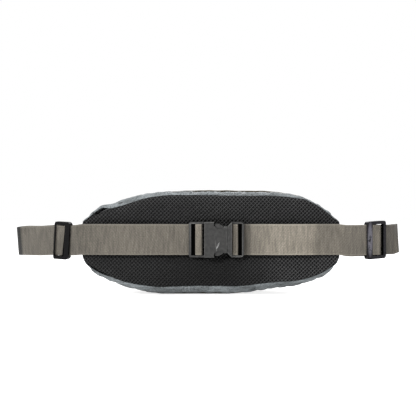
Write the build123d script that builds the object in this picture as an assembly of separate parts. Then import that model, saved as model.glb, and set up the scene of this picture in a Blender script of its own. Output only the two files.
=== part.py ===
from build123d import *
from math import asin, atan2, cos, degrees, hypot, radians, sin, sqrt, tan
import os

# Waist pack with its belt folded back and buckled over the padded back panel.
# Millimetres. +X is the wearer's left-to-right width, +Z is up, the back panel faces -Y
# and the pockets face +Y. The pack stands on z = 0 on its flat bottom panel.

# ---- pack body ----
pack_half_width = 168.5
pack_height = 139.5
side_seam_height = 46.5
belt_height = 73.7
pack_depth = 80.0
side_seam_depth = 14.0
flat_bottom_half_length = 45.0
bottom_settle = 0.3
wing_length = 42.5
shoulder_fullness = 4.3
belly_start_fullness = 1.3
belly_end_fullness = 0.55
depth_fullness = 3.0
roll_depth_least = 4.0
roll_depth_share = 0.16
top_roll = 4.5
bottom_roll_centre = 11.0
bottom_roll_side = 3.0
bottom_flat_share = 0.68
shell_thickness = 1.0
seam_gap = 0.2
piping_radius = 0.9
piping_sink = 0.3
top_panel_fullness = 0.05
front_upper_fullness = 0.12
pocket_fullness = 0.09
bottom_corner_fullness = 0.16
front_seam_inset = 8.0
front_seam_rise = 14.0
wing_under_share = 0.6

# ---- back panel layers ----
mesh_thickness = 2.4
foam_thickness = 4.0
lining_thickness = 0.8
foam_margin = 4.0
foam_end_margin = 18.0

# ---- webbing belt ----
webbing_width = 40.0
webbing_thickness = 1.4
layer_gap = 0.3
mesh_clearance = 0.5
belt_bend_beyond_pack = 5.5
belt_bend_radius = 30.0
belt_sweep_back = 20.0
left_fold_length = 91.7
right_fold_length = 83.5
belt_layer_spread = 9.0
seam_insert = 9.0
seam_end_margin = 0.5
seam_block_thickness = 4.4
seam_block_margin = 0.3
seam_webbing_y = 5.6
slot_margin = 0.7
tail_end_length = 9.0
loop_joint_margin = 7.0

# ---- tri-glides ----
left_triglide_from_fold = 64.0
right_triglide_from_fold = 32.7
triglide_height = 50.0
triglide_near_bar = 8.0
triglide_centre_bar = 6.4
triglide_far_bar = 3.2
triglide_slot = 4.0
triglide_rail = 4.2
triglide_bar_thickness = 1.8
triglide_corner = 3.5
running_clearance = 0.3

# ---- side-release buckle ----
buckle_height = 45.8
buckle_rail = 2.3
socket_frame_corner = 3.0
plug_frame_corner = 4.5
edge_round = 1.0
web_bar_thickness = 2.4
socket_outer_edge = -28.7
socket_outer_bar = 2.8
socket_bar_left = -18.5
socket_bar_right = -12.8
socket_body_left = -8.8
socket_shoulder = 4.6
shoulder_pocket = 2.3
socket_mouth = 20.5
socket_mouth_band = 3.7
socket_waist = 34.4
socket_thickness = 11.0
socket_wall = 1.6
socket_plate = 1.4
socket_back_wall = 3.8
window_depth = 3.6
buckle_stand_off = 1.0
plug_gap = 0.5
plug_flare_length = 6.0
plug_bar_left = 29.2
plug_bar_right = 33.0
plug_outer_edge = 42.8
plug_outer_bar = 2.6
plug_base_inset = 0.3
tongue_half_height = 4.0
tongue_tip = -3.5
tongue_clearance = 0.4
prong_root_x = 23.6
prong_root_z = 7.5
prong_root_radius = 2.2
prong_root_clearance = 0.08
prong_mouth_clearance = 0.65
prong_arm = 2.6
prong_tip_gap = 0.6
barb_gap = 0.5
barb_depth = 1.2
barb_catch = 1.2
prong_pad_height = 20.9
prong_pad_corner = 0.8
prong_pad_dip = 0.6
prong_pad_undercut = 1.4
prong_shoulder = 2.2
prong_shoulder_rise = 1.7
prong_knee_low = 1.8
prong_knee_high = 2.2

# ---- zips ----
zip_half_gap = 7.0
zip_tape_thickness = 0.7
zip_tape_sink = 0.3
coil_gap = 0.7
coil_width = 1.8
coil_proud = 1.0
coil_under = 1.2
slider_length = 11.0
slider_half_width = 4.4
slider_plate = 1.2
slider_post_width = 1.0
slider_clearance = 0.25
slider_bail_height = 3.0
slider_bail_length = 5.0
slider_bail_width = 2.0
slider_corner = 1.2
slider_park_gap = 0.6
pin_hole_radius = 0.78
pin_below_lug = 1.5
pull_pin_radius = 0.7
pull_length = 27.0
pull_width = 7.0
pull_thickness = 1.6
zip_stop_length = 4.0
main_zip_inset = 38.0
main_zip_drop = 9.0
main_zip_tilt = 28.0
main_zip_radius = 600.0
main_zip_end_margin = 8.0
pocket_zip_drop = 52.0
pocket_zip_inset = 2.5
pocket_zip_tilt = 84.0
pocket_zip_radius = 300.0
pocket_zip_end_margin = 14.0
pocket_depth = 11.0
divider_thickness = 0.8
divider_edge_rise = 1.0
divider_knee_drop = 3.0
divider_foot_inset = 2.0

# ---- derived ----
wing_seam = pack_half_width - wing_length
belt_bend_x = pack_half_width + belt_bend_beyond_pack
left_belt_reach = pack_half_width + left_fold_length
right_belt_reach = pack_half_width + right_fold_length
left_triglide_x = left_belt_reach - left_triglide_from_fold
right_triglide_x = right_belt_reach - right_triglide_from_fold
main_zip_y = pack_depth - main_zip_inset
main_zip_z = pack_height - main_zip_drop
main_zip_half_length = wing_seam - main_zip_end_margin
pocket_zip_half_length = wing_seam - pocket_zip_end_margin
pocket_zip_y = pack_depth - pocket_zip_inset
side_top = belt_height + side_seam_height / 2
side_bottom = belt_height - side_seam_height / 2
belt_bottom = belt_height - webbing_width / 2
belt_top = belt_height + webbing_width / 2
tail_y = -mesh_clearance - webbing_thickness / 2
front_y = tail_y - webbing_thickness - layer_gap
pocket_zip_z = pack_height - pocket_zip_drop
back_stack = mesh_thickness + foam_thickness + lining_thickness

os.makedirs("parts", exist_ok=True)


# How far out a wing's front stands, as a share of its depth, and how far down its height.
wing_front_bends = [(0.57, 0.04), (0.82, 0.10), (0.96, 0.30), (1.0, 0.50), (0.97, 0.68), (0.84, 0.87)]

# The ways a section's line may run at a seam, along Y and Z.
rising = (0, 1)
outward = (1, 0)
homeward = (-1, 0)
under_front = (-0.4, -0.92)


# ---- the pack's form, as sections across the width ----
def share_out(x):
    return min(abs(x) / pack_half_width, 1.0)


def crest(x):
    return side_top + (pack_height - side_top) * (1 - share_out(x) ** shoulder_fullness)


def belly(x):
    beyond = max(abs(x) - flat_bottom_half_length, 0)
    share = min(beyond / (pack_half_width - flat_bottom_half_length), 1.0)
    fall = (1 - share**belly_start_fullness) ** belly_end_fullness
    return side_bottom * (1 - fall) - bottom_settle


def depth(x):
    return side_seam_depth + (pack_depth - side_seam_depth) * (1 - share_out(x) ** depth_fullness)


def roll_depth(x):
    return roll_depth_least + roll_depth_share * depth(x)


def panel_top(x):
    return crest(x) - top_roll


def panel_bottom(x):
    roll = bottom_roll_side + (bottom_roll_centre - bottom_roll_side) * (1 - share_out(x) ** 2)
    return belly(x) + roll


def over(tilt):
    """The way across a zip's tape, from its upper half to its lower."""
    return (cos(radians(tilt)), -sin(radians(tilt)))


def zip_line(x, y, z, tilt, radius, across):
    """A point on a curved zip at x, moved across its tape."""
    sag = radius - sqrt(radius**2 - x**2)
    out = (sin(radians(tilt)), cos(radians(tilt)))
    way = over(tilt)
    return (y - sag * out[0] + across * way[0], z - sag * out[1] + across * way[1])


def main_zip(x, across):
    return zip_line(x, main_zip_y, main_zip_z, main_zip_tilt, main_zip_radius, across)


def pocket_zip(x, across):
    return zip_line(x, pocket_zip_y, pocket_zip_z, pocket_zip_tilt, pocket_zip_radius, across)


def bulge(start, end, share):
    """The middle of a run, pushed outwards by a share of its length."""
    dy, dz = end[0] - start[0], end[1] - start[1]
    return ((start[0] + end[0]) / 2 - dz * share, (start[1] + end[1]) / 2 + dy * share)


def roll(x, top):
    """The quarter round from the back panel's edge to the crest or the belly."""
    edge = panel_top(x) + seam_gap if top else panel_bottom(x) - seam_gap
    far = crest(x) if top else belly(x)
    deep = roll_depth(x)
    turns = (0, 30, 60, 90)
    return [
        (deep * (1 - cos(radians(a))), edge + (far - edge) * sin(radians(a))) for a in turns
    ]


def front_bottom_seam(x):
    return (depth(x) - front_seam_inset, belly(x) + front_seam_rise)


def rear_top_runs(x):
    return [(roll(x, True), rising, outward)]


def piping_line(x, top):
    """The middle of the piping, in the seam between a gusset and its panel."""
    sunk = piping_radius + piping_sink
    z = crest(x) - sunk if top else belly(x) + bottom_settle + sunk
    return (roll_depth(x) + seam_gap + piping_radius, z)


def past_piping(x):
    return roll_depth(x) + 2 * (seam_gap + piping_radius)


def top_panel_runs(x):
    start = (past_piping(x), crest(x) - piping_sink)
    end = main_zip(x, -zip_half_gap)
    return [([start, bulge(start, end, top_panel_fullness), end], outward, over(main_zip_tilt))]


def front_upper_runs(x):
    start = main_zip(x, zip_half_gap)
    end = pocket_zip(x, -zip_half_gap)
    middle = bulge(start, end, front_upper_fullness)
    return [([start, middle, end], over(main_zip_tilt), over(pocket_zip_tilt))]


def front_pocket_runs(x):
    start = pocket_zip(x, zip_half_gap)
    end = front_bottom_seam(x)
    return [([start, bulge(start, end, pocket_fullness), end], over(pocket_zip_tilt), under_front)]


def bottom_runs(x):
    start = front_bottom_seam(x)
    start = (start[0] - seam_gap, start[1] - seam_gap)
    flat_front = (depth(x) * bottom_flat_share, belly(x))
    flat_back = (past_piping(x), belly(x))
    corner = [start, bulge(start, flat_front, bottom_corner_fullness), flat_front]
    return [(corner, under_front, homeward), ([flat_front, flat_back], homeward, homeward)]


def rear_bottom_runs(x):
    return [(roll(x, False)[::-1], homeward, rising)]


def wing_runs(x):
    """The whole skin of a side wing: back edge, crest, front, belly and back edge."""
    high, low, deep = crest(x), belly(x), depth(x)
    tall = high - low
    front = [(deep * out, high - tall * down) for out, down in wing_front_bends]
    under = (deep * wing_under_share, low)
    return [
        (roll(x, True), rising, outward),
        ([(roll_depth(x), high), *front, under], outward, homeward),
        ([under, (roll_depth(x), low)], homeward, homeward),
        (roll(x, False)[::-1], homeward, rising),
    ]


def directions(run):
    ways = []
    for i in range(len(run)):
        a, b = run[max(i - 1, 0)], run[min(i + 1, len(run) - 1)]
        length = hypot(b[0] - a[0], b[1] - a[1])
        ways.append(((b[0] - a[0]) / length, (b[1] - a[1]) / length))
    return ways


def side_edges(x, line, ways):
    points = [(x, *p) for p in line]
    if len(points) == 2:
        return Line(*points)
    return Spline(*points, tangents=[(0, *ways[0]), (0, *ways[-1])])


def skin_wire(x, runs, thickness):
    """One closed section of a skin: its outer line, and an inner one a thickness inside.

    Each run is its points, and the ways it starts and ends where those aren't its own.
    """
    outside, inside = [], []
    for run, start_way, end_way in runs:
        ways = directions(run)
        ways[0] = start_way or ways[0]
        ways[-1] = end_way or ways[-1]
        inner = [(p[0] + w[1] * thickness, p[1] - w[0] * thickness) for p, w in zip(run, ways)]
        back = [(-w[0], -w[1]) for w in ways[::-1]]
        outside.append(side_edges(x, run, ways))
        inside.insert(0, side_edges(x, inner[::-1], back))
    closing = [Line(outside[-1] @ 1, inside[0] @ 0), Line(inside[-1] @ 1, outside[0] @ 0)]
    return Wire(outside + closing[:1] + inside + closing[1:])


def skin(stations, runs, thickness=shell_thickness):
    return Solid.make_loft([skin_wire(x, runs(x), thickness) for x in stations])


def evenly(low, high, count):
    return [low + (high - low) * i / (count - 1) for i in range(count)]


centre_stations = evenly(-wing_seam, wing_seam, 13)
wing_inner = wing_seam + seam_gap
wing_reach = pack_half_width - wing_inner
wing_stations = [wing_inner + wing_reach * share for share in (0, 0.3, 0.6, 0.82, 0.94, 1)]


def mirrored(shape):
    return mirror(shape, about=Plane.YZ)


def block(x_span, y_span, z_span):
    """A box from its limits along each axis."""
    spans = (x_span, y_span, z_span)
    size = [high - low for low, high in spans]
    middle = [(high + low) / 2 for low, high in spans]
    return Pos(*middle) * Box(*size)


def plate(outline, y_span):
    """A flat outline in X and Z, given its thickness in Y."""
    corners = [(x, y_span[0], z) for x, z in outline]
    face = Face(Wire.make_polygon(corners, close=True))
    return extrude(face, amount=y_span[1] - y_span[0], dir=(0, 1, 0))


# ---- the frame: everything is drawn from the back panel's face, then moved so that the
# origin is the middle of the flat bottom ----
bottom_middle_y = (past_piping(0) + depth(0) * bottom_flat_share) / 2


def save(node, shape):
    export_step(Pos(0, -bottom_middle_y, 0) * shape, f"parts/{node}.step")


# ---- shell panels ----
def pressed_flat(shape):
    """Cut where the floor presses the soft underside flat."""
    reach = pack_half_width + pack_depth
    return shape - block((-reach, reach), (-reach, reach), (-pack_height, 0))


save("rear_gusset_top", skin(centre_stations, rear_top_runs))
save("rear_gusset_bottom", pressed_flat(skin(centre_stations, rear_bottom_runs)))
save("top_panel", skin(centre_stations, top_panel_runs))
save("front_upper_panel", skin(centre_stations, front_upper_runs))
save("front_pocket_panel", skin(centre_stations, front_pocket_runs))
save("bottom_panel", pressed_flat(skin(centre_stations, bottom_runs)))
right_wing = skin(wing_stations, wing_runs)
save("right_wing", right_wing)
save("left_wing", mirrored(right_wing))


# ---- piping in the two gusset seams ----
def piping(top):
    rings = [
        Wire(Edge.make_circle(piping_radius, Plane((x, *piping_line(x, top)), (0, 1, 0), (1, 0, 0))))
        for x in centre_stations
    ]
    return Solid.make_loft(rings)


save("top_piping", piping(True))
save("bottom_piping", piping(False))


# ---- back panel: mesh, foam and lining, one behind another ----
def panel_layer(front, thickness, margin, half_length):
    """A flat layer whose edge follows the gussets between the wings, and then the wings."""
    wing_share = [x for x in wing_stations if x < half_length - 1] + [half_length]
    parts = [[-x for x in wing_share[::-1]], centre_stations, wing_share]
    upper = [[(x, front, panel_top(x) - margin) for x in part] for part in parts]
    lower = [[(x, front, panel_bottom(x) + margin) for x in part] for part in parts]
    lines = upper + [points[::-1] for points in lower[::-1]]
    edges = []
    for points, following in zip(lines, lines[1:] + lines[:1]):
        edges += [Spline(*points), Line(points[-1], following[0])]
    return extrude(Face(Wire(edges)), amount=thickness, dir=(0, 1, 0))


foam_half_length = pack_half_width - foam_end_margin
foam_front = mesh_thickness
lining_front = foam_front + foam_thickness
save("back_mesh", panel_layer(0, mesh_thickness, seam_gap, pack_half_width))
save("back_foam", panel_layer(foam_front, foam_thickness, foam_margin, foam_half_length))
save("back_lining", panel_layer(lining_front, lining_thickness, foam_margin, foam_half_length))


# ---- the divider behind the front pocket ----
def divider_runs(x):
    behind = shell_thickness + seam_gap
    high = pocket_zip(x, -zip_half_gap)
    low = front_bottom_seam(x)
    start = (high[0] - behind, high[1] + divider_edge_rise)
    knee = (high[0] - behind - pocket_depth / 2, high[1] - divider_knee_drop)
    middle = (high[0] - behind - pocket_depth, (high[1] + low[1]) / 2)
    end = (low[0] - behind - divider_foot_inset, low[1] + divider_foot_inset)
    return [([start, knee, middle, end], None, None)]


save("pocket_divider", skin(centre_stations, divider_runs, divider_thickness))


# ---- the belt's route in plan, the same on both sides ----
class BeltSide:
    """One side's webbing; it is drawn to the right and mirrored for the left."""

    def __init__(self, left, reach, triglide_x, bar_span, outer_edge, outer_bar):
        self.left = left
        turn = belt_layer_spread / 2
        lean = sin(radians(belt_sweep_back))
        self.way = (cos(radians(belt_sweep_back)), lean)
        straight = reach - belt_bend_x + turn * lean - turn - webbing_thickness / 2
        self.hairpin = straight / self.way[0] + turn
        self.triglide = (triglide_x - belt_bend_x) / self.way[0]
        self.bar_span = bar_span
        self.slot_outer = outer_edge - outer_bar

    def at(self, along, behind):
        """A point on the swept-back stretch, along its front layer and behind it."""
        x = belt_bend_x + along * self.way[0] - behind * self.way[1]
        y = front_y + along * self.way[1] + behind * self.way[0]
        return (x, y)

    def bend(self, y):
        """Where a layer lying at y turns into the swept-back stretch."""
        return (belt_bend_x - (y - front_y) * tan(radians(belt_sweep_back / 2)), y)

    def placed(self, shape):
        return mirrored(shape) if self.left else shape


def rounded_side(route, radii, offset, z):
    """The lines and arcs that run beside a route at an offset, with its corners rounded."""
    edges = []
    last = None
    for i, point in enumerate(route):
        before = route[max(i - 1, 0)]
        after = route[min(i + 1, len(route) - 1)]
        if i in (0, len(route) - 1):
            run = atan2(after[1] - before[1], after[0] - before[0])
            stops = [(point[0] - offset * sin(run), point[1] + offset * cos(run))]
        else:
            a = atan2(point[1] - before[1], point[0] - before[0])
            b = atan2(after[1] - point[1], after[0] - point[0])
            turn = (b - a + radians(180)) % radians(360) - radians(180)
            way = 1 if turn > 0 else -1
            radius = radii[i - 1]
            set_back = radius * tan(abs(turn) / 2)
            start = (point[0] - set_back * cos(a), point[1] - set_back * sin(a))
            centre = (start[0] - way * radius * sin(a), start[1] + way * radius * cos(a))
            reach = way * radius - offset
            angles = (a, a + turn / 2, a + turn)
            stops = [(centre[0] + reach * sin(q), centre[1] - reach * cos(q)) for q in angles]
        if last and hypot(stops[0][0] - last[0], stops[0][1] - last[1]) > 1e-4:
            edges.append(Line((*last, z), (*stops[0], z)))
        elif last:
            stops[0] = last
        if len(stops) == 3:
            edges.append(ThreePointArc(*[(*stop, z) for stop in stops]))
        last = stops[-1]
    return edges


def webbing(route, radii):
    """A strip of webbing standing on its edge along a route in plan."""
    half = webbing_thickness / 2
    left = rounded_side(route, radii, half, belt_bottom)
    right = rounded_side(route, radii, -half, belt_bottom)
    ends = [Line(left[-1] @ 1, right[-1] @ 1), Line(left[0] @ 0, right[0] @ 0)]
    return extrude(Face(Wire(left + right + ends)), amount=webbing_width, dir=(0, 0, 1))


layer_pitch = webbing_thickness + layer_gap
bar_back = tail_y - webbing_thickness / 2 - layer_gap
bar_front = bar_back - web_bar_thickness
over_bar_y = bar_front - layer_gap - webbing_thickness / 2
outer_bar_back = front_y - webbing_thickness / 2 - layer_gap
frame_front = outer_bar_back - web_bar_thickness
bar_turn_radius = (tail_y - over_bar_y) / 2
hairpin_radius = belt_layer_spread / 2
wrap_behind = layer_pitch + 2 * running_clearance + webbing_thickness + triglide_bar_thickness
wrap_turn_radius = (wrap_behind - layer_pitch) / 2
slot_ramp_radius = 3.0
seam_turn_radius = 8.0

left_side = BeltSide(
    True,
    left_belt_reach,
    left_triglide_x,
    (-socket_bar_right, -socket_bar_left),
    -socket_outer_edge,
    socket_outer_bar,
)
right_side = BeltSide(
    False,
    right_belt_reach,
    right_triglide_x,
    (plug_bar_left, plug_bar_right),
    plug_outer_edge,
    plug_outer_bar,
)


def rear_route(side):
    """From inside the side seam to where the webbing runs beside the front layer."""
    x, y = side.at(0, belt_layer_spread)
    turn = (x + (seam_webbing_y - y) * side.way[0] / side.way[1], seam_webbing_y)
    return [(pack_half_width - seam_insert, seam_webbing_y), turn]


def hairpin_route(side):
    return [side.at(side.hairpin, belt_layer_spread), side.at(side.hairpin, 0)]


def buckle_route(side):
    """Along the front, up through the slot, over the buckle's bar and back behind it."""
    bar_near, bar_far = side.bar_span
    turn_x = bar_near - layer_gap - webbing_thickness / 2
    tail_end = side.triglide - triglide_centre_bar / 2 - tail_end_length
    route = [
        side.bend(front_y),
        (side.slot_outer - slot_margin, front_y),
        (bar_far + slot_margin * 2, over_bar_y),
        (turn_x, over_bar_y),
        (turn_x, tail_y),
        side.bend(tail_y),
        side.at(tail_end, layer_pitch),
    ]
    radii = [
        belt_bend_radius,
        slot_ramp_radius,
        slot_ramp_radius,
        bar_turn_radius,
        bar_turn_radius,
        belt_bend_radius,
    ]
    return route, radii


def tail_end(side):
    """The webbing's last few centimetres, sewn round the tri-glide's centre bar."""
    near = side.triglide - triglide_centre_bar / 2
    turn = side.triglide + triglide_centre_bar / 2 + running_clearance + webbing_thickness / 2
    route = [
        side.at(near - tail_end_length, layer_pitch),
        side.at(turn, layer_pitch),
        side.at(turn, wrap_behind),
        side.at(near - tail_end_length / 2, wrap_behind),
    ]
    return side.placed(webbing(route, [wrap_turn_radius, wrap_turn_radius]))


def left_belt():
    route, radii = buckle_route(left_side)
    route = rear_route(left_side) + hairpin_route(left_side) + route
    radii = [seam_turn_radius, hairpin_radius, hairpin_radius] + radii
    return left_side.placed(webbing(route, radii))


loop_start = right_side.hairpin - hairpin_radius - loop_joint_margin


def right_belt_rear():
    route = rear_route(right_side) + [right_side.at(loop_start, belt_layer_spread)]
    return webbing(route, [seam_turn_radius])


def right_belt_loop():
    start = right_side.at(loop_start, belt_layer_spread)
    route = [start] + hairpin_route(right_side) + [right_side.at(loop_start, 0)]
    return webbing(route, [hairpin_radius, hairpin_radius])


def right_belt_front():
    route, radii = buckle_route(right_side)
    return webbing([right_side.at(loop_start, 0)] + route, radii)


save("left_belt", left_belt())
save("left_belt_tail_end", tail_end(left_side))
save("right_belt_rear", right_belt_rear())
save("right_belt_loop", right_belt_loop())
save("right_belt_front", right_belt_front())
save("right_belt_tail_end", tail_end(right_side))


# ---- side seams, where all the layers and the webbing are sewn together ----
def side_seam():
    seam_z = (belt_bottom - seam_block_margin, belt_top + seam_block_margin)
    half = seam_block_thickness / 2
    x_span = (pack_half_width - seam_insert, pack_half_width - seam_end_margin)
    body = block(x_span, (seam_webbing_y - half, seam_webbing_y + half), seam_z)
    slot_half = webbing_thickness / 2
    slot_x = (x_span[0] - 1, x_span[1] + 1)
    slot_y = (seam_webbing_y - slot_half, seam_webbing_y + slot_half)
    return body - block(slot_x, slot_y, (belt_bottom, belt_top))


right_seam = side_seam()
save("right_side_seam", right_seam)
save("left_side_seam", mirrored(right_seam))


# ---- tri-glides ----
def round_bar(x_span, y_span, z_span):
    """A flat bar along Z with fully rounded long edges."""
    radius = (y_span[1] - y_span[0]) / 2
    return fillet(block(x_span, y_span, z_span).edges().filter_by(Axis.Z), radius * 0.999)


def triglide(side):
    half_bar = triglide_centre_bar / 2
    window = (-half_bar - triglide_slot, half_bar + triglide_slot)
    ends = (window[0] - triglide_near_bar, window[1] + triglide_far_bar)
    half_height = triglide_height / 2
    rail_inner = half_height - triglide_rail
    outer_back = -webbing_thickness / 2 - running_clearance
    front = outer_back - triglide_bar_thickness
    centre_front = layer_pitch + webbing_thickness / 2 + running_clearance
    back = centre_front + triglide_bar_thickness
    body = block(ends, (front, back), (-half_height, half_height))
    body = fillet(body.edges().filter_by(Axis.Y), triglide_corner)
    opening = (-rail_inner, rail_inner)
    body -= block(window, (front - 1, back + 1), opening)
    body -= block((ends[0] - 1, ends[1] + 1), (outer_back, back + 1), opening)
    overlap = (-rail_inner - 1, rail_inner + 1)
    body += round_bar((-half_bar, half_bar), (centre_front, back), overlap)
    x, y = side.at(side.triglide, 0)
    return side.placed(Pos(x, y, belt_height) * Rot(0, 0, belt_sweep_back) * body)


save("left_triglide", triglide(left_side))
save("right_triglide", triglide(right_side))


# ---- side-release buckle ----
half_buckle = buckle_height / 2
slot_half_height = half_buckle - buckle_rail
half_waist = socket_waist / 2
cavity_half = half_waist - socket_wall
socket_y = (-buckle_stand_off - socket_thickness, -buckle_stand_off)
cavity_y = (socket_y[0] + socket_plate, socket_y[1] - socket_plate)
tongue_y = (cavity_y[0] + tongue_clearance, cavity_y[1] - tongue_clearance)


def web_frame(x_span, slot_x, bar_x, outer_bar_x, corner):
    """The flat end of a buckle half: two slots, a sunk centre bar and a raised outer bar."""
    frame_y = (frame_front, bar_back)
    body = block(x_span, frame_y, (-half_buckle, half_buckle))
    corners = body.edges().filter_by(Axis.Y).group_by(Axis.X)
    body = fillet(corners[0] if outer_bar_x[0] < x_span[0] else corners[-1], corner)
    opening = (-slot_half_height, slot_half_height)
    through = (frame_y[0] - 1, frame_y[1] + 1)
    body -= block(slot_x, through, opening)
    body -= block(outer_bar_x, (outer_bar_back, through[1]), opening)
    overlap = (-slot_half_height - 1, slot_half_height + 1)
    return body + round_bar(bar_x, (bar_front, bar_back), overlap)


def buckle_socket():
    bar_x = (socket_bar_left, socket_bar_right)
    outer_bar_x = (socket_outer_edge - 1, socket_outer_edge + socket_outer_bar)
    frame_x = (socket_outer_edge, socket_body_left + 1)
    slot_x = (outer_bar_x[1], socket_body_left)
    frame = web_frame(frame_x, slot_x, bar_x, outer_bar_x, socket_frame_corner)
    shoulder = block((socket_body_left, socket_shoulder), socket_y, (-half_buckle, half_buckle))
    waist = block((socket_body_left, socket_mouth), socket_y, (-half_waist, half_waist))
    shell = shoulder + waist
    shell = fillet(shell.faces().sort_by(Axis.Y)[0].outer_wire().edges(), edge_round)
    window_right = socket_mouth - socket_mouth_band
    beyond = half_buckle + 1
    pocket_x = (socket_shoulder - shoulder_pocket, window_right)
    shell -= block(pocket_x, cavity_y, (-beyond, beyond))
    cavity_x = (socket_body_left + socket_back_wall, socket_mouth + 1)
    shell -= block(cavity_x, cavity_y, (-cavity_half, cavity_half))
    half_window = (window_right - socket_shoulder) / 2
    scoop_radius = (half_window**2 + window_depth**2) / (2 * window_depth)
    scoop_x = (window_right + socket_shoulder) / 2
    for way in (1, -1):
        scoop_z = way * (half_waist - window_depth + scoop_radius)
        centre = Pos(scoop_x, sum(socket_y) / 2, scoop_z)
        shell -= centre * Rot(90, 0, 0) * Cylinder(scoop_radius, socket_thickness + 2)
    return Pos(0, 0, belt_height) * (shell + frame)


def buckle_plug():
    bar_x = (plug_bar_left, plug_bar_right)
    outer_bar_x = (plug_outer_edge - plug_outer_bar, plug_outer_edge + 1)
    base_left = socket_mouth + plug_gap
    base_right = base_left + plug_flare_length
    frame_x = (base_right - 1, plug_outer_edge)
    slot_x = (base_right, outer_bar_x[0])
    frame = web_frame(frame_x, slot_x, bar_x, outer_bar_x, plug_frame_corner)
    base_y = (socket_y[0] + plug_base_inset, socket_y[1] - plug_base_inset)
    flare = [
        (base_left, -half_waist),
        (base_left, half_waist),
        (base_right, half_buckle),
        (base_right, -half_buckle),
    ]
    base = plate(flare, base_y)
    base = fillet(base.faces().sort_by(Axis.Y)[0].outer_wire().edges(), edge_round)
    tongue_z = (-tongue_half_height, tongue_half_height)
    tongue = block((tongue_tip, base_left + 1), tongue_y, tongue_z)
    tongue = chamfer(tongue.edges().filter_by(Axis.Y).group_by(Axis.X)[0], tongue_half_height / 3)
    body = base + tongue
    socket_radius = prong_root_radius + prong_root_clearance
    for way in (1, -1):
        centre = Pos(prong_root_x, sum(cavity_y) / 2, way * prong_root_z)
        deep = cavity_y[1] - cavity_y[0]
        body -= centre * Rot(90, 0, 0) * Cylinder(socket_radius, deep)
        half_mouth = prong_arm / 2 + prong_mouth_clearance
        mouth_z = sorted((way * (prong_root_z - half_mouth), way * (prong_root_z + half_mouth)))
        body -= block((base_left - 1, prong_root_x), cavity_y, mouth_z)
    return Pos(0, 0, belt_height) * (body + frame)


def prong(way):
    """A sprung arm with its pad and barb, turning about its round root in the plug."""
    tip_x = socket_shoulder + prong_tip_gap
    barb_x = socket_mouth - socket_mouth_band - barb_gap
    barb_base = cavity_half - barb_depth
    barb_top = cavity_half + barb_catch
    arm_low = prong_root_z - prong_arm / 2
    arm_high = prong_root_z + prong_arm / 2
    middle_x = (tip_x + barb_x) / 2
    outline = [
        (prong_root_x, arm_low),
        (barb_x - prong_arm, arm_low + prong_knee_low),
        (tip_x, barb_base - prong_pad_undercut),
        (tip_x, prong_pad_height - prong_pad_corner),
        (tip_x + prong_pad_corner, prong_pad_height),
        (middle_x, prong_pad_height - prong_pad_dip),
        (barb_x - prong_shoulder, barb_top + prong_shoulder_rise),
        (barb_x, barb_top),
        (barb_x, barb_base),
        (barb_x - prong_arm, arm_high + prong_knee_high),
        (prong_root_x, arm_high),
    ]
    body = plate(outline, tongue_y)
    centre = Pos(prong_root_x, sum(tongue_y) / 2, prong_root_z)
    body += centre * Rot(90, 0, 0) * Cylinder(prong_root_radius, tongue_y[1] - tongue_y[0])
    body = body if way > 0 else mirror(body, about=Plane.XY)
    return Pos(0, 0, belt_height) * body


save("buckle_socket", buckle_socket())
save("buckle_plug", buckle_plug())
save("upper_prong", prong(1))
save("lower_prong", prong(-1))


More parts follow.
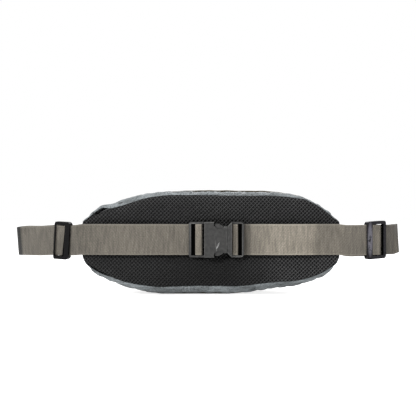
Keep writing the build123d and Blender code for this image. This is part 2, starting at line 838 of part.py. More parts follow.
# ---- zips: each chain lies on an arc, so its slider turns about the arc's middle ----
class Zip:
    """Drawn on top of an arc in X and Z with its tape across Y, then tilted into place."""

    def __init__(self, name, y, z, tilt, radius, half_length):
        self.name = name
        self.place = Pos(0, y, z) * Rot(-tilt, 0, 0)
        self.radius = radius
        self.half_length = half_length
        self.axis = Axis((0, 0, -radius), (0, 1, 0))

    def angle(self, x):
        return degrees(asin(x / self.radius))

    def strip(self, y_span, z_span, start, end):
        """A strip with a plain section that follows the arc between two places."""
        (y_low, y_high), (z_low, z_high) = y_span, z_span
        corners = [(0, y_low, z_low), (0, y_high, z_low), (0, y_high, z_high), (0, y_low, z_high)]
        face = Face(Wire.make_polygon(corners, close=True)).rotate(self.axis, self.angle(start))
        return revolve(face, self.axis, self.angle(end) - self.angle(start))

    def both_sides(self, y_span, z_span, start, end):
        near = (-y_span[1], -y_span[0])
        return [self.strip(span, z_span, start, end) for span in (y_span, near)]

    def group(self, suffix, shapes):
        solids = [solid for shape in shapes for solid in (self.place * shape).solids()]
        save(f"{self.name}_{suffix}", Compound(solids))

    def tapes(self):
        inner = coil_gap + coil_width
        z_span = (-zip_tape_sink - zip_tape_thickness, -zip_tape_sink)
        y_span = (inner, zip_half_gap - seam_gap)
        self.group("tapes", self.both_sides(y_span, z_span, -wing_seam, wing_seam))

    def coils(self):
        y_span = (coil_gap, coil_gap + coil_width)
        z_span = (-coil_under, coil_proud)
        self.group("coils", self.both_sides(y_span, z_span, -self.half_length, self.half_length))

    def stops(self):
        half = coil_gap + coil_width
        spans = ((-half, half), (-coil_under, coil_proud))
        near, far = self.half_length + 0.02, self.half_length + zip_stop_length
        self.group("stops", [self.strip(*spans, near, far), self.strip(*spans, -far, -near)])

    def parked(self, shape):
        """Turned along the arc to the closed end of the zip."""
        x = self.half_length - slider_length / 2 - slider_park_gap
        return self.place * shape.rotate(self.axis, self.angle(x))

    def slider(self):
        half = slider_length / 2
        plate_low = coil_proud + slider_clearance
        plate_high = plate_low + slider_plate
        wide = (-slider_half_width, slider_half_width)
        under = -coil_under - slider_clearance
        top = block((-half, half), wide, (plate_low, plate_high))
        top = fillet(top.edges().filter_by(Axis.Z), slider_corner)
        bottom = block((-half, half), wide, (under - slider_plate, under))
        bottom = fillet(bottom.edges().filter_by(Axis.Z), slider_corner)
        post_half = slider_post_width / 2
        post_z = (under - slider_plate / 2, plate_low + slider_plate / 2)
        post = block((-half / 2, half / 2), (-post_half, post_half), post_z)
        lug_half = slider_bail_length / 2
        lug_wide = (-slider_bail_width / 2, slider_bail_width / 2)
        lug_top = plate_high + slider_bail_height
        lug = block((-lug_half, lug_half), lug_wide, (plate_high - slider_plate / 2, lug_top))
        lug = fillet(lug.edges().filter_by(Axis.Y).group_by(Axis.Z)[-1], slider_corner)
        hole = Pos(0, 0, self.pin_height()) * Rot(90, 0, 0) * Cylinder(pin_hole_radius, slider_length)
        save(f"{self.name}_slider", self.parked(top + bottom + post + lug - hole))

    def pin_height(self):
        return coil_proud + slider_clearance + slider_plate + slider_bail_height - pin_below_lug

    def pull(self):
        half_wide = pull_width / 2
        half_thick = pull_thickness / 2
        z = self.pin_height()
        z_span = (z - half_thick, z + half_thick)
        body = block((-pull_length, half_thick), (-half_wide, half_wide), z_span)
        far = body.edges().filter_by(Axis.Z).group_by(Axis.X)[0]
        body = fillet(far, pull_width / 3)
        slot_half = slider_bail_width / 2 + slider_clearance
        slot_x = (-slider_bail_length, half_thick + 1)
        body -= block(slot_x, (-slot_half, slot_half), (z - pull_thickness, z + pull_thickness))
        body += Pos(0, 0, z) * Rot(90, 0, 0) * Cylinder(pull_pin_radius, pull_width - 1)
        save(f"{self.name}_pull", self.parked(body))


main = Zip(
    "main_zip", main_zip_y, main_zip_z, main_zip_tilt, main_zip_radius, main_zip_half_length
)
pocket = Zip(
    "pocket_zip",
    pocket_zip_y,
    pocket_zip_z,
    pocket_zip_tilt,
    pocket_zip_radius,
    pocket_zip_half_length,
)
for each in (main, pocket):
    each.tapes()
    each.coils()
    each.stops()
    each.slider()
    each.pull()
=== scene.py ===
# %% [markdown]
# # A waist pack with its belt buckled over the back panel
#
# The pack is a small stuffed bag on a webbing belt. Its belt is folded back over the padded
# mesh panel that rests on the hips, and the side-release buckle is closed there.
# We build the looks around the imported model, which is the fixed frame: it says where every
# piece is and which body it moves with. Each piece below is either a CAD node with a better
# material, or a piece of our own that stands for one or more CAD nodes.

# %% Load the frame and keep its box
import math

import bpy
import numpy as np
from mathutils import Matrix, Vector, noise


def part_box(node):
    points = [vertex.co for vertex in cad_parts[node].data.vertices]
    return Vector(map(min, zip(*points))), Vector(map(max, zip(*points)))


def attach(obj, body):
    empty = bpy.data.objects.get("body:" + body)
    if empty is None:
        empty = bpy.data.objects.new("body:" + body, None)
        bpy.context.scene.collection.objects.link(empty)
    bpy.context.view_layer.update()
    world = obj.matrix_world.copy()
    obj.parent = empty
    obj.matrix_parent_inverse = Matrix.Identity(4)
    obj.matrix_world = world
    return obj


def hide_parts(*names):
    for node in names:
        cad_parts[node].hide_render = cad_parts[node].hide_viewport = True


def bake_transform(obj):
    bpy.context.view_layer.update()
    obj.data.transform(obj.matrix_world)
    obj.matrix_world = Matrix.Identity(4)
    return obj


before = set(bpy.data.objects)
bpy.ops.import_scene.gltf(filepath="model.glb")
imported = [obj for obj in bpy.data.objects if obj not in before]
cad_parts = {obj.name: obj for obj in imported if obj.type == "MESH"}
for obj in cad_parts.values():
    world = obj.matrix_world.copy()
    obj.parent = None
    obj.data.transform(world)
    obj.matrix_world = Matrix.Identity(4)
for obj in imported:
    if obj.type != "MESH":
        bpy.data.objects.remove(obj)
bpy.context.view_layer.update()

# %% [markdown]
# ## The pack's sizes
# The pattern pieces of the bag are cut from these sizes, in millimetres. The CAD model was
# drawn from the same ones with the back panel's face at depth 0, and it was then moved so
# that its origin is in the middle of the flat bottom. `middle` undoes that at the end.

# %% Sizes in millimetres
MM = 0.001
HALF_WIDTH, HEIGHT, DEPTH = 168.5, 139.5, 80.0
WING_SEAM = 126.0
BELT_HEIGHT, WEBBING, WEBBING_THICK = 73.7, 40.0, 1.4
SIDE_SEAM_HEIGHT, SIDE_SEAM_DEPTH = 46.5, 14.0
SEAM_INSERT, SEAM_WEB_Y = 9.0, 5.6
FLAT_HALF_LENGTH = 45.0
FLAT_DEPTH_SHARE = 0.68
PIPING_RADIUS, SEAM_GAP, PIPING_SINK = 0.9, 0.2, 0.3
TOP_ROLL = 4.5
ZIP_HALF_GAP = 7.0
MAIN_ZIP = {"y": 42.0, "z": 130.5, "tilt": 28.0, "radius": 600.0, "half": 118.0}
POCKET_ZIP = {"y": 77.5, "z": 87.5, "tilt": 84.0, "radius": 300.0, "half": 112.0}
side_top = BELT_HEIGHT + SIDE_SEAM_HEIGHT / 2
side_bottom = BELT_HEIGHT - SIDE_SEAM_HEIGHT / 2

# %% [markdown]
# ## The bag's outline
# A stuffed bag is never quite even. Its top sags and its bottom hangs a few millimetres below
# the drawn line, by an amount that changes along it. The two tables give that amount at a few
# places, as (place along the bag, millimetres lower). Where it is negative, the line is higher.

# %% Outline and depth along the bag
TOP_SAG = [
    (-168, 0.5), (-157, 2.6), (-144, 4.6), (-131, 5.2), (-118, 5.0), (-104, 4.6), (-88, 3.2), (-60, 2.4),
    (-20, 2.8), (20, 3.4), (50, 3.6), (80, 2.0), (110, 0.2), (140, 0), (155, 1.4), (168, 1),
]
BOTTOM_HANG = [
    (-150, 0), (-138, 0.8), (-126, 3.8), (-112, 4.4), (-95, 3.2), (-66, 3.0), (0, 1.6), (25, 0), (38, -1.2),
    (52, -2.8), (66, -3.2), (80, -2.2), (92, -0.8), (102, 1.0), (115, 2.8), (141, 3.6), (155, 4.4), (167, 2),
]


def level_at(table, x):
    """A value at x from a table of places, with soft corners."""
    places, values = zip(*table)
    return sum(float(np.interp(x + step, places, values)) for step in (-9, -4, 0, 4, 9)) / 5


def share_out(x):
    return min(abs(x) / HALF_WIDTH, 1.0)


def off_seams(x):
    """1 along the bag and 0 at its side seams, which hold it in place."""
    return 1 - share_out(x) ** 12


def crest(x):
    drawn = side_top + (HEIGHT - side_top) * (1 - share_out(x) ** 4.3)
    return drawn - level_at(TOP_SAG, x) * off_seams(x)


def belly(x):
    share = min(max(abs(x) - FLAT_HALF_LENGTH, 0) / (HALF_WIDTH - FLAT_HALF_LENGTH), 1.0)
    drawn = side_bottom * (1 - (1 - share**1.3) ** 0.55)
    return max(drawn - level_at(BOTTOM_HANG, x) * off_seams(x), 0.0)


def depth(x):
    return SIDE_SEAM_DEPTH + (DEPTH - SIDE_SEAM_DEPTH) * (1 - share_out(x) ** 3)


def roll_depth(x):
    return 4.0 + 0.16 * depth(x)


def past_piping(x):
    return roll_depth(x) + 2 * (SEAM_GAP + PIPING_RADIUS)


def ease(value, low, high):
    """0 up to low, 1 from high, and a smooth step between."""
    share = min(max((value - low) / (high - low), 0), 1)
    return share * share * (3 - 2 * share)


def panel_top(x):
    """The mesh panel's upper edge. More nylon shows on one shoulder, and little at the ends."""
    low_shoulder = 3.4 * math.exp(-(((x + 112) / 30) ** 2))
    high_ends = 2.8 * ease(x, 104, 124) + 2.4 * ease(-x, 146, 158)
    return crest(x) - TOP_ROLL - low_shoulder + high_ends


def panel_bottom(x):
    return belly(x) + 3 + 8 * (1 - share_out(x) ** 2)


middle = (past_piping(0) + depth(0) * FLAT_DEPTH_SHARE) / 2


def placed(x, y, z):
    """From the drawing's millimetres to the frame's metres."""
    return Vector((x * MM, (y - middle) * MM, z * MM))


back_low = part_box("back_mesh")[0]
print("back panel: drawn face at", round(placed(0, 0, 0).y, 5))
print("back panel: CAD face at", round(back_low.y, 5))

# %% [markdown]
# ## Working by hand, with small helpers
# An operator acts on whatever is selected, and the frame's nodes are selected after loading,
# so each step first selects its own object and nothing else.


# %% Selection and modifiers
def select_only(obj=None):
    if bpy.context.object and bpy.context.object.mode != "OBJECT":
        bpy.ops.object.mode_set(mode="OBJECT")
    bpy.ops.object.select_all(action="DESELECT")
    if obj:
        obj.select_set(True)
        bpy.context.view_layer.objects.active = obj


def modify(obj, kind, **settings):
    """Adds one modifier, sets it and applies it."""
    select_only(obj)
    modifier = obj.modifiers.new(kind.title(), kind)
    for key, value in settings.items():
        setattr(modifier, key, value)
    bpy.ops.object.modifier_apply(modifier=modifier.name)


def smooth(obj, degrees=40):
    select_only(obj)
    bpy.ops.object.shade_smooth_by_angle(angle=math.radians(degrees))


def join(objects, name):
    select_only(objects[0])
    for obj in objects:
        obj.select_set(True)
    if len(objects) > 1:
        bpy.ops.object.join()
    objects[0].name = objects[0].data.name = name
    return objects[0]


def flip_faces(obj):
    select_only(obj)
    bpy.ops.object.mode_set(mode="EDIT")
    bpy.ops.mesh.select_all(action="SELECT")
    bpy.ops.mesh.flip_normals()
    bpy.ops.object.mode_set(mode="OBJECT")


def points_of(obj):
    flat = np.zeros(len(obj.data.vertices) * 3)
    obj.data.vertices.foreach_get("co", flat)
    return flat.reshape(-1, 3)


def set_points(obj, points):
    obj.data.vertices.foreach_set("co", np.asarray(points, float).reshape(-1))
    obj.data.update()


def fine_noise(point, size, seed=0.0):
    """Smooth noise from -1 to 1, with bumps about as large as size, in millimetres."""
    scaled = Vector(point) / (size * MM) + Vector((seed, seed * 1.7, seed * 0.6))
    return noise.noise(scaled)


# %% [markdown]
# ## Sheets of cloth from a grid
# A pattern piece is a rectangle of cloth that was sewn into a curved place. So it starts as
# a grid primitive, and each of its points is moved to its place on the bag. The grid's UV map
# is set to the real lengths along the cloth, so that a weave keeps its scale on every piece.


# %% A sheet from rows of points
def sheet(name, rows):
    """A sheet of cloth through rows of points in metres, with its UV map in metres."""
    rows = np.asarray(rows, float)
    tall, wide = rows.shape[:2]
    select_only()
    bpy.ops.mesh.primitive_grid_add(x_subdivisions=wide - 1, y_subdivisions=tall - 1, size=1)
    obj = bpy.context.object
    obj.name = obj.data.name = name
    set_points(obj, rows)
    along = np.zeros((tall, wide))
    across = np.zeros((tall, wide))
    along[:, 1:] = np.cumsum(np.linalg.norm(np.diff(rows, axis=1), axis=2), axis=1)
    across[1:] = np.cumsum(np.linalg.norm(np.diff(rows, axis=0), axis=2), axis=0)
    along -= along.mean(axis=1, keepdims=True)
    across -= across.mean(axis=0, keepdims=True)
    index = np.zeros(len(obj.data.loops), int)
    obj.data.loops.foreach_get("vertex_index", index)
    lengths = np.stack([along.reshape(-1)[index], across.reshape(-1)[index]], axis=1)
    obj.data.uv_layers[0].data.foreach_set("uv", lengths.reshape(-1))
    return obj


def through(points, count):
    """A smooth line of evenly spaced points through a few given ones."""
    points = np.asarray(points, float)
    repeated = np.linalg.norm(np.diff(points, axis=0), axis=1) < 1e-6
    points = points[np.r_[True, ~repeated]]
    steps = np.r_[0, np.cumsum(np.linalg.norm(np.diff(points, axis=0), axis=1))]
    slopes = np.gradient(points, steps, axis=0)
    fine = np.linspace(0, steps[-1], 400)
    spot = np.clip(np.searchsorted(steps, fine, "right") - 1, 0, len(points) - 2)
    wide = (steps[spot + 1] - steps[spot])[:, None]
    t = ((fine - steps[spot])[:, None]) / wide
    line = (
        (2 * t**3 - 3 * t**2 + 1) * points[spot]
        + (t**3 - 2 * t**2 + t) * wide * slopes[spot]
        + (3 * t**2 - 2 * t**3) * points[spot + 1]
        + (t**3 - t**2) * wide * slopes[spot + 1]
    )
    run = np.r_[0, np.cumsum(np.linalg.norm(np.diff(line, axis=0), axis=1))]
    even = np.linspace(0, run[-1], count)
    return np.stack([np.interp(even, run, line[:, i]) for i in range(line.shape[1])], axis=1)


# %% [markdown]
# ## Materials
# Cloth, webbing and moulded plastic look real through detail at the right scale. Everything
# is made with nodes, and what several finishes share is a node group with its own inputs.


# %% Making nodes
def node(tree, kind, inputs=None, **settings):
    """A new node. Each input is a number, a colour or another node's output."""
    made = tree.nodes.new(kind)
    for key, value in settings.items():
        setattr(made, key, value)
    for key, value in (inputs or {}).items():
        if isinstance(value, bpy.types.NodeSocket):
            tree.links.new(value, made.inputs[key])
        else:
            made.inputs[key].default_value = value
    return made


def math_node(tree, operation, first, second=0.0, third=0.0):
    inputs = {0: first, 1: second, 2: third}
    if operation in ("SINE", "ABSOLUTE", "FRACT"):
        inputs = {0: first}
    return node(tree, "ShaderNodeMath", inputs, operation=operation).outputs[0]


def mix_colours(tree, share, first, second):
    made = node(tree, "ShaderNodeMix", data_type="RGBA")
    for key, value in (("Factor", share), ("A", first), ("B", second)):
        sockets = [s for s in made.inputs if s.name == key and s.enabled]
        if isinstance(value, bpy.types.NodeSocket):
            tree.links.new(value, sockets[0])
        else:
            sockets[0].default_value = value if key == "Factor" else (*value[:3], 1)
    return [s for s in made.outputs if s.enabled][0]


def spread(tree, value, low, high, to_low, to_high):
    """A value from one range to another, and held at its ends."""
    inputs = {"Value": value, "From Min": low, "From Max": high, "To Min": to_low, "To Max": to_high}
    return node(tree, "ShaderNodeMapRange", inputs).outputs[0]


def scaled_colour(tree, colour, level):
    return node(tree, "ShaderNodeVectorMath", {0: colour, "Scale": level}, operation="SCALE").outputs[0]


CURVE_REACH, CURVE_TOP = 270.0, 2.0


def profile(tree, place, table):
    """A level that follows a table of (millimetres along the belt, level), through a curve."""
    share = spread(tree, place, -CURVE_REACH * MM, CURVE_REACH * MM, 0, 1)
    made = node(tree, "ShaderNodeFloatCurve", {"Value": share})
    curve = made.mapping.curves[0]
    spots = [((x + CURVE_REACH) / (2 * CURVE_REACH), level / CURVE_TOP) for x, level in table]
    curve.points[0].location, curve.points[1].location = spots[0], spots[-1]
    for spot in spots[1:-1]:
        curve.points.new(*spot)
    for point in curve.points:
        point.handle_type = "VECTOR"
    made.mapping.update()
    return math_node(tree, "MULTIPLY", made.outputs[0], CURVE_TOP)


def group(name, inputs, outputs):
    """An empty node group, with its input node and its output node."""
    tree = bpy.data.node_groups.new(name, "ShaderNodeTree")
    for socket, kind, value in inputs:
        made = tree.interface.new_socket(socket, in_out="INPUT", socket_type=kind)
        if value is not None:
            made.default_value = value
    for socket, kind in outputs:
        tree.interface.new_socket(socket, in_out="OUTPUT", socket_type=kind)
    return tree, tree.nodes.new("NodeGroupInput"), tree.nodes.new("NodeGroupOutput")


def use(tree, shared, **inputs):
    made = node(tree, "ShaderNodeGroup", node_tree=shared)
    for key, value in inputs.items():
        if isinstance(value, bpy.types.NodeSocket):
            tree.links.new(value, made.inputs[key])
        else:
            made.inputs[key].default_value = value
    return made


# %% [markdown]
# ### Shared effects
# *Weave* is a plain cloth: two crossing waves of threads, each with its own pitch.
# *Crease* is the soft crumpling of thin cloth, from two sizes of noise. *Mottle* is the
# uneven colour that every real surface has. All of them read a position in metres.

# %% Weave, crease and mottle
FLOAT, VECTOR, COLOUR = "NodeSocketFloat", "NodeSocketVector", "NodeSocketColor"

weave, weave_in, weave_out = group(
    "weave",
    [("Place", VECTOR, None), ("Warp", FLOAT, 0.0005), ("Weft", FLOAT, 0.0005)],
    [("Height", FLOAT)],
)
parts = node(weave, "ShaderNodeSeparateXYZ", {0: weave_in.outputs["Place"]})
turns = 2 * math.pi
warp = math_node(weave, "DIVIDE", parts.outputs[0], weave_in.outputs["Warp"])
weft = math_node(weave, "DIVIDE", parts.outputs[1], weave_in.outputs["Weft"])
warp_wave = math_node(weave, "SINE", math_node(weave, "MULTIPLY", warp, turns))
weft_wave = math_node(weave, "SINE", math_node(weave, "MULTIPLY", weft, turns))
crossed = math_node(weave, "MULTIPLY", warp_wave, weft_wave)
height = math_node(weave, "MULTIPLY_ADD", crossed, 0.5, 0.5)
weave.links.new(height, weave_out.inputs["Height"])

crease, crease_in, crease_out = group(
    "crease", [("Place", VECTOR, None), ("Size", FLOAT, 0.01)], [("Height", FLOAT)]
)
inverse = math_node(crease, "DIVIDE", 1.0, crease_in.outputs["Size"])
crumpled = {"Detail": 4.0, "Roughness": 0.55, "Distortion": 0.6}
folds = node(
    crease, "ShaderNodeTexNoise", {"Vector": crease_in.outputs["Place"], "Scale": inverse, **crumpled}
)
ridge = math_node(crease, "ABSOLUTE", math_node(crease, "SUBTRACT", folds.outputs[0], 0.5))
sharp = spread(crease, ridge, 0.0, 0.16, 0.0, 1.0)
crease.links.new(sharp, crease_out.inputs["Height"])

mottle, mottle_in, mottle_out = group(
    "mottle",
    [
        ("Place", VECTOR, None), ("Size", FLOAT, 0.02),
        ("Colour", COLOUR, (1, 1, 1, 1)), ("Amount", FLOAT, 0.1),
    ],
    [("Colour", COLOUR), ("Share", FLOAT)],
)
inverse = math_node(mottle, "DIVIDE", 1.0, mottle_in.outputs["Size"])
clouds = node(
    mottle,
    "ShaderNodeTexNoise",
    {"Vector": mottle_in.outputs["Place"], "Scale": inverse, "Detail": 5.0, "Roughness": 0.6},
)
share = spread(mottle, clouds.outputs[0], 0.3, 0.7, -1.0, 1.0)
gain = math_node(mottle, "MULTIPLY_ADD", share, mottle_in.outputs["Amount"], 1.0)
mottle.links.new(scaled_colour(mottle, mottle_in.outputs["Colour"], gain), mottle_out.inputs["Colour"])
mottle.links.new(share, mottle_out.inputs["Share"])


# %% The material itself
def new_material(name):
    material = bpy.data.materials.new(name)
    material.use_nodes = True
    tree = material.node_tree
    tree.nodes.clear()
    out = tree.nodes.new("ShaderNodeOutputMaterial")
    shader = tree.nodes.new("ShaderNodeBsdfPrincipled")
    tree.links.new(shader.outputs[0], out.inputs[0])
    place = tree.nodes.new("ShaderNodeTexCoord")
    return material, tree, shader, place


def bump(tree, heights):
    """Bump nodes in a chain, from (height, distance in metres) pairs."""
    normal = None
    for height, distance in heights:
        inputs = {"Height": height, "Distance": distance, "Strength": 1.0}
        if normal:
            inputs["Normal"] = normal
        normal = node(tree, "ShaderNodeBump", inputs).outputs[0]
    return normal


def fabric(
    name, colour, warp, weft, crumple=0.0, crumple_size=0.012, dullness=0.75, uneven=0.12, sheen=0.2,
    thread_depth=0.00012, coordinates="UV", fold_streak_shade=0.0,
):
    """A woven cloth: threads, soft creases, uneven dye, and long streaks of painted light and shade over
    bumps.
    """
    material, tree, shader, place = new_material(name)
    where = place.outputs[coordinates]
    body = place.outputs["Object"]
    threads = use(tree, weave, Place=where, Warp=warp, Weft=weft)
    dye = use(tree, mottle, Place=body, Size=0.03, Colour=(*colour, 1), Amount=uneven)
    dark = [c * 0.62 for c in colour]
    gap = math_node(tree, "SUBTRACT", 1.0, threads.outputs["Height"])
    colour_out = mix_colours(tree, math_node(tree, "MULTIPLY", gap, 0.55), dye.outputs["Colour"], dark)
    heights = [(threads.outputs["Height"], thread_depth)]
    if crumple:
        folds = use(tree, crease, Place=body, Size=crumple_size)
        heights.append((folds.outputs["Height"], crumple))
    if fold_streak_shade:
        # The streaks are painted light and shade of fine folds: the colour is scaled up and down along them.
        stretch = {"Rotation": (0, math.radians(9), 0), "Scale": (26, 90, 150)}
        drawn = node(tree, "ShaderNodeMapping", {"Vector": body, **stretch})
        lines = node(tree, "ShaderNodeTexNoise", {"Vector": drawn.outputs[0], "Scale": 1.0, "Detail": 3.0})
        level = spread(tree, lines.outputs[0], 0.32, 0.68, 1 - fold_streak_shade, 1 + fold_streak_shade)
        colour_out = scaled_colour(tree, colour_out, level)
        heights.append((lines.outputs[0], 0.006))
    tree.links.new(colour_out, shader.inputs["Base Color"])
    roughness = spread(tree, dye.outputs["Share"], -1, 1, dullness - 0.08, dullness + 0.08)
    tree.links.new(roughness, shader.inputs["Roughness"])
    tree.links.new(bump(tree, heights), shader.inputs["Normal"])
    shader.inputs["Sheen Weight"].default_value = sheen
    shader.inputs["Sheen Roughness"].default_value = 0.5
    shader.inputs["Specular IOR Level"].default_value = 0.35
    return material


# %% [markdown]
# ### The cloths
# The gussets and wings are thin coated blue-grey nylon, which crumples. The panels between
# the zips are a taupe pack cloth. The linings are plain, and the zip tapes are a finer weave.

# %% Cloth materials
GREY = (0.228, 0.250, 0.260)
TAUPE = (0.165, 0.145, 0.115)
grey_nylon = fabric(
    "grey_nylon", GREY, 0.0009, 0.0009, 0.0016, 0.010, dullness=0.5, uneven=0.2, sheen=0.1, fold_streak_shade=0.4
)
taupe_cloth = fabric("taupe_cloth", TAUPE, 0.0012, 0.0012, 0.0006, 0.018, dullness=0.68)
lining_cloth = fabric(
    "lining_cloth", (0.11, 0.115, 0.12), 0.0008, 0.0008, 0.0005, 0.015, coordinates="Object"
)
foam_pad = fabric("foam_pad", (0.06, 0.06, 0.062), 0.0015, 0.0015, coordinates="Object", dullness=0.9)
piping_cord = fabric(
    "piping_cord", (0.10, 0.082, 0.05), 0.0012, 0.0009, thread_depth=0.0002, coordinates="Object"
)
zip_tape = fabric("zip_tape", (0.018, 0.018, 0.02), 0.0007, 0.0007, dullness=0.7, uneven=0.2)
seam_binding = fabric(
    "seam_binding", (0.03, 0.03, 0.032), 0.0009, 0.0012, dullness=0.8, coordinates="Object"
)

# %% [markdown]
# ### Spacer mesh
# The back panel is a black knitted mesh over foam. Its holes are real dimples in the piece,
# so the material only adds the fine knit between them and painted shade at the bottom of each
# hole, which the piece marks with an attribute. The knit's colour is also scaled by one table
# above the belt and one below: darker below the belt and darkest under the buckle, which is
# painted shade, lighter above the belt, which is painted light, and lighter towards the right end.

# %% Mesh material
MESH_SHADE_BELOW = [(-270, 1.0), (-90, 0.88), (-40, 0.5), (20, 0.42), (60, 0.9), (90, 1.9), (270, 2.0)]
MESH_LIGHT_ABOVE = [(-270, 1.02), (-60, 1.06), (0, 1.25), (60, 1.3), (270, 1.3)]
spacer_mesh, tree, shader, place = new_material("spacer_mesh")
where = place.outputs["Object"]
pit_shade = node(tree, "ShaderNodeAttribute", attribute_name="pit_shade")
knit = node(tree, "ShaderNodeTexVoronoi", {"Vector": where, "Scale": 1400.0})
dye = use(tree, mottle, Place=where, Size=0.035, Colour=(0.042, 0.042, 0.043, 1), Amount=0.3)
knit_share = spread(tree, knit.outputs[0], 0, 0.7, 0, 1)
thread = mix_colours(tree, knit_share, (0.125, 0.125, 0.126), dye.outputs["Colour"])
spot = node(tree, "ShaderNodeSeparateXYZ", {0: where})
# Painted light and shade: the knit is scaled darker below the belt and lighter above it.
below = profile(tree, spot.outputs[0], MESH_SHADE_BELOW)
above = profile(tree, spot.outputs[0], MESH_LIGHT_ABOVE)
upwards = spread(tree, spot.outputs[2], 0.055, 0.085, 0, 1)
level = math_node(tree, "MULTIPLY_ADD", upwards, math_node(tree, "SUBTRACT", above, below), below)
thread = scaled_colour(tree, thread, level)
# Painted shade: the bottom of each hole is mixed towards near black.
knit_colour = mix_colours(tree, pit_shade.outputs["Fac"], thread, (0.002, 0.002, 0.002))
tree.links.new(knit_colour, shader.inputs["Base Color"])
tree.links.new(bump(tree, [(knit.outputs[0], 0.0002)]), shader.inputs["Normal"])
shader.inputs["Roughness"].default_value = 0.75
shader.inputs["Specular IOR Level"].default_value = 0.25
shader.inputs["Sheen Weight"].default_value = 0.05

# %% [markdown]
# ### Webbing
# Polyester webbing is woven with ribs straight across it, a little over a millimetre apart, and
# with a tighter, paler selvage along both edges. The UV map of a belt piece runs along the belt in
# U and across it in V, both in metres, so ribs stay square to the belt round every bend.
# Its colour is scaled along the belt by one more table: nearly black at the left folded end,
# darker in a strip just right of the buckle and past the right tri-glide, which is painted
# shade, lighter where it runs over the buckle's bars, and unevenly toned elsewhere.

# %% Webbing material
BELT_SHADE_AND_TONE = [
    (-270, 0.02), (-256.5, 0.02), (-254.5, 0.66), (-200, 0.74), (-176, 0.68), (-150, 0.72), (-118, 0.90),
    (-27, 0.86), (-23, 1.25), (-10, 1.25), (-6, 0.9), (26, 1.2), (37, 1.2), (39, 0.52), (50, 0.55),
    (53, 1.15), (80, 1.55), (116, 1.72), (134, 1.46), (139, 0.98), (160, 1.03), (180, 1.04),
    (212, 1.0), (215, 1.2), (223, 1.2), (230, 0.62), (270, 0.56),
]
RIB_PITCH, CORD_PITCH, TWILL_PITCH = 0.00125, 0.00085, 0.0036
webbing_weave, tree, shader, place = new_material("webbing")
where = place.outputs["UV"]
parts = node(tree, "ShaderNodeSeparateXYZ", {0: where})
wobble = node(tree, "ShaderNodeTexNoise", {"Vector": where, "Scale": 160.0, "Detail": 2.0})
shift = math_node(tree, "MULTIPLY_ADD", wobble.outputs[0], 0.0007, parts.outputs[0])
rib = math_node(tree, "SINE", math_node(tree, "MULTIPLY", shift, 2 * math.pi / RIB_PITCH))
rib = spread(tree, rib, -1, 1, 0, 1)
cord_wave = math_node(tree, "SINE", math_node(tree, "MULTIPLY", parts.outputs[1], 2 * math.pi / CORD_PITCH))
threads = math_node(tree, "MULTIPLY_ADD", math_node(tree, "MULTIPLY", cord_wave, rib), 0.35, rib)
edge = math_node(tree, "ABSOLUTE", parts.outputs[1])
selvage = spread(tree, edge, 0.0178, 0.0188, 0, 1)
twill = math_node(tree, "ADD", parts.outputs[0], math_node(tree, "MULTIPLY", parts.outputs[1], 0.8))
twill = math_node(tree, "SINE", math_node(tree, "MULTIPLY", twill, 2 * math.pi / TWILL_PITCH))
body = place.outputs["Object"]
dye = use(tree, mottle, Place=body, Size=0.05, Colour=(0.190, 0.170, 0.138, 1), Amount=0.10)
stretched = node(tree, "ShaderNodeVectorMath", {0: where, 1: (380.0, 46.0, 1.0)}, operation="MULTIPLY")
streaks = node(tree, "ShaderNodeTexNoise", {"Vector": stretched.outputs[0], "Scale": 1.0, "Detail": 3.0})
streak = spread(tree, streaks.outputs[0], 0.3, 0.7, 0.68, 1.3)
grain = node(tree, "ShaderNodeTexNoise", {"Vector": where, "Scale": 620.0, "Detail": 1.0})
grain = spread(tree, grain.outputs[0], 0.3, 0.7, 0.76, 1.24)
grain = math_node(tree, "MULTIPLY", grain, math_node(tree, "MULTIPLY_ADD", twill, 0.09, 1.0))
place_x = node(tree, "ShaderNodeSeparateXYZ", {0: body}).outputs[0]
mark_colour = scaled_colour(tree, dye.outputs["Colour"], math_node(tree, "MULTIPLY", streak, grain))
base = mix_colours(tree, spread(tree, threads, 0, 1.2, 0.42, 0), mark_colour, (0.080, 0.070, 0.056))
base = mix_colours(tree, math_node(tree, "MULTIPLY", selvage, 0.35), base, (0.31, 0.285, 0.235))
# Painted shade: the table darkens the folded end and the strips beside the buckle and past the right
# tri-glide.
base = scaled_colour(tree, base, profile(tree, place_x, BELT_SHADE_AND_TONE))
tree.links.new(base, shader.inputs["Base Color"])
tree.links.new(bump(tree, [(threads, 0.00022), (selvage, 0.0002)]), shader.inputs["Normal"])
shader.inputs["Roughness"].default_value = 0.66
shader.inputs["Sheen Weight"].default_value = 0.25
shader.inputs["Specular IOR Level"].default_value = 0.35

# %% [markdown]
# ### Moulded plastic and metal
# Acetal buckles have a satin skin with a very fine grain. Their edges are painted pale, partly as
# wear from handling and partly as painted highlights where the rounded edges catch the light.
# These edges are found with Geometry's Pointiness, which is high on edges that stand out.


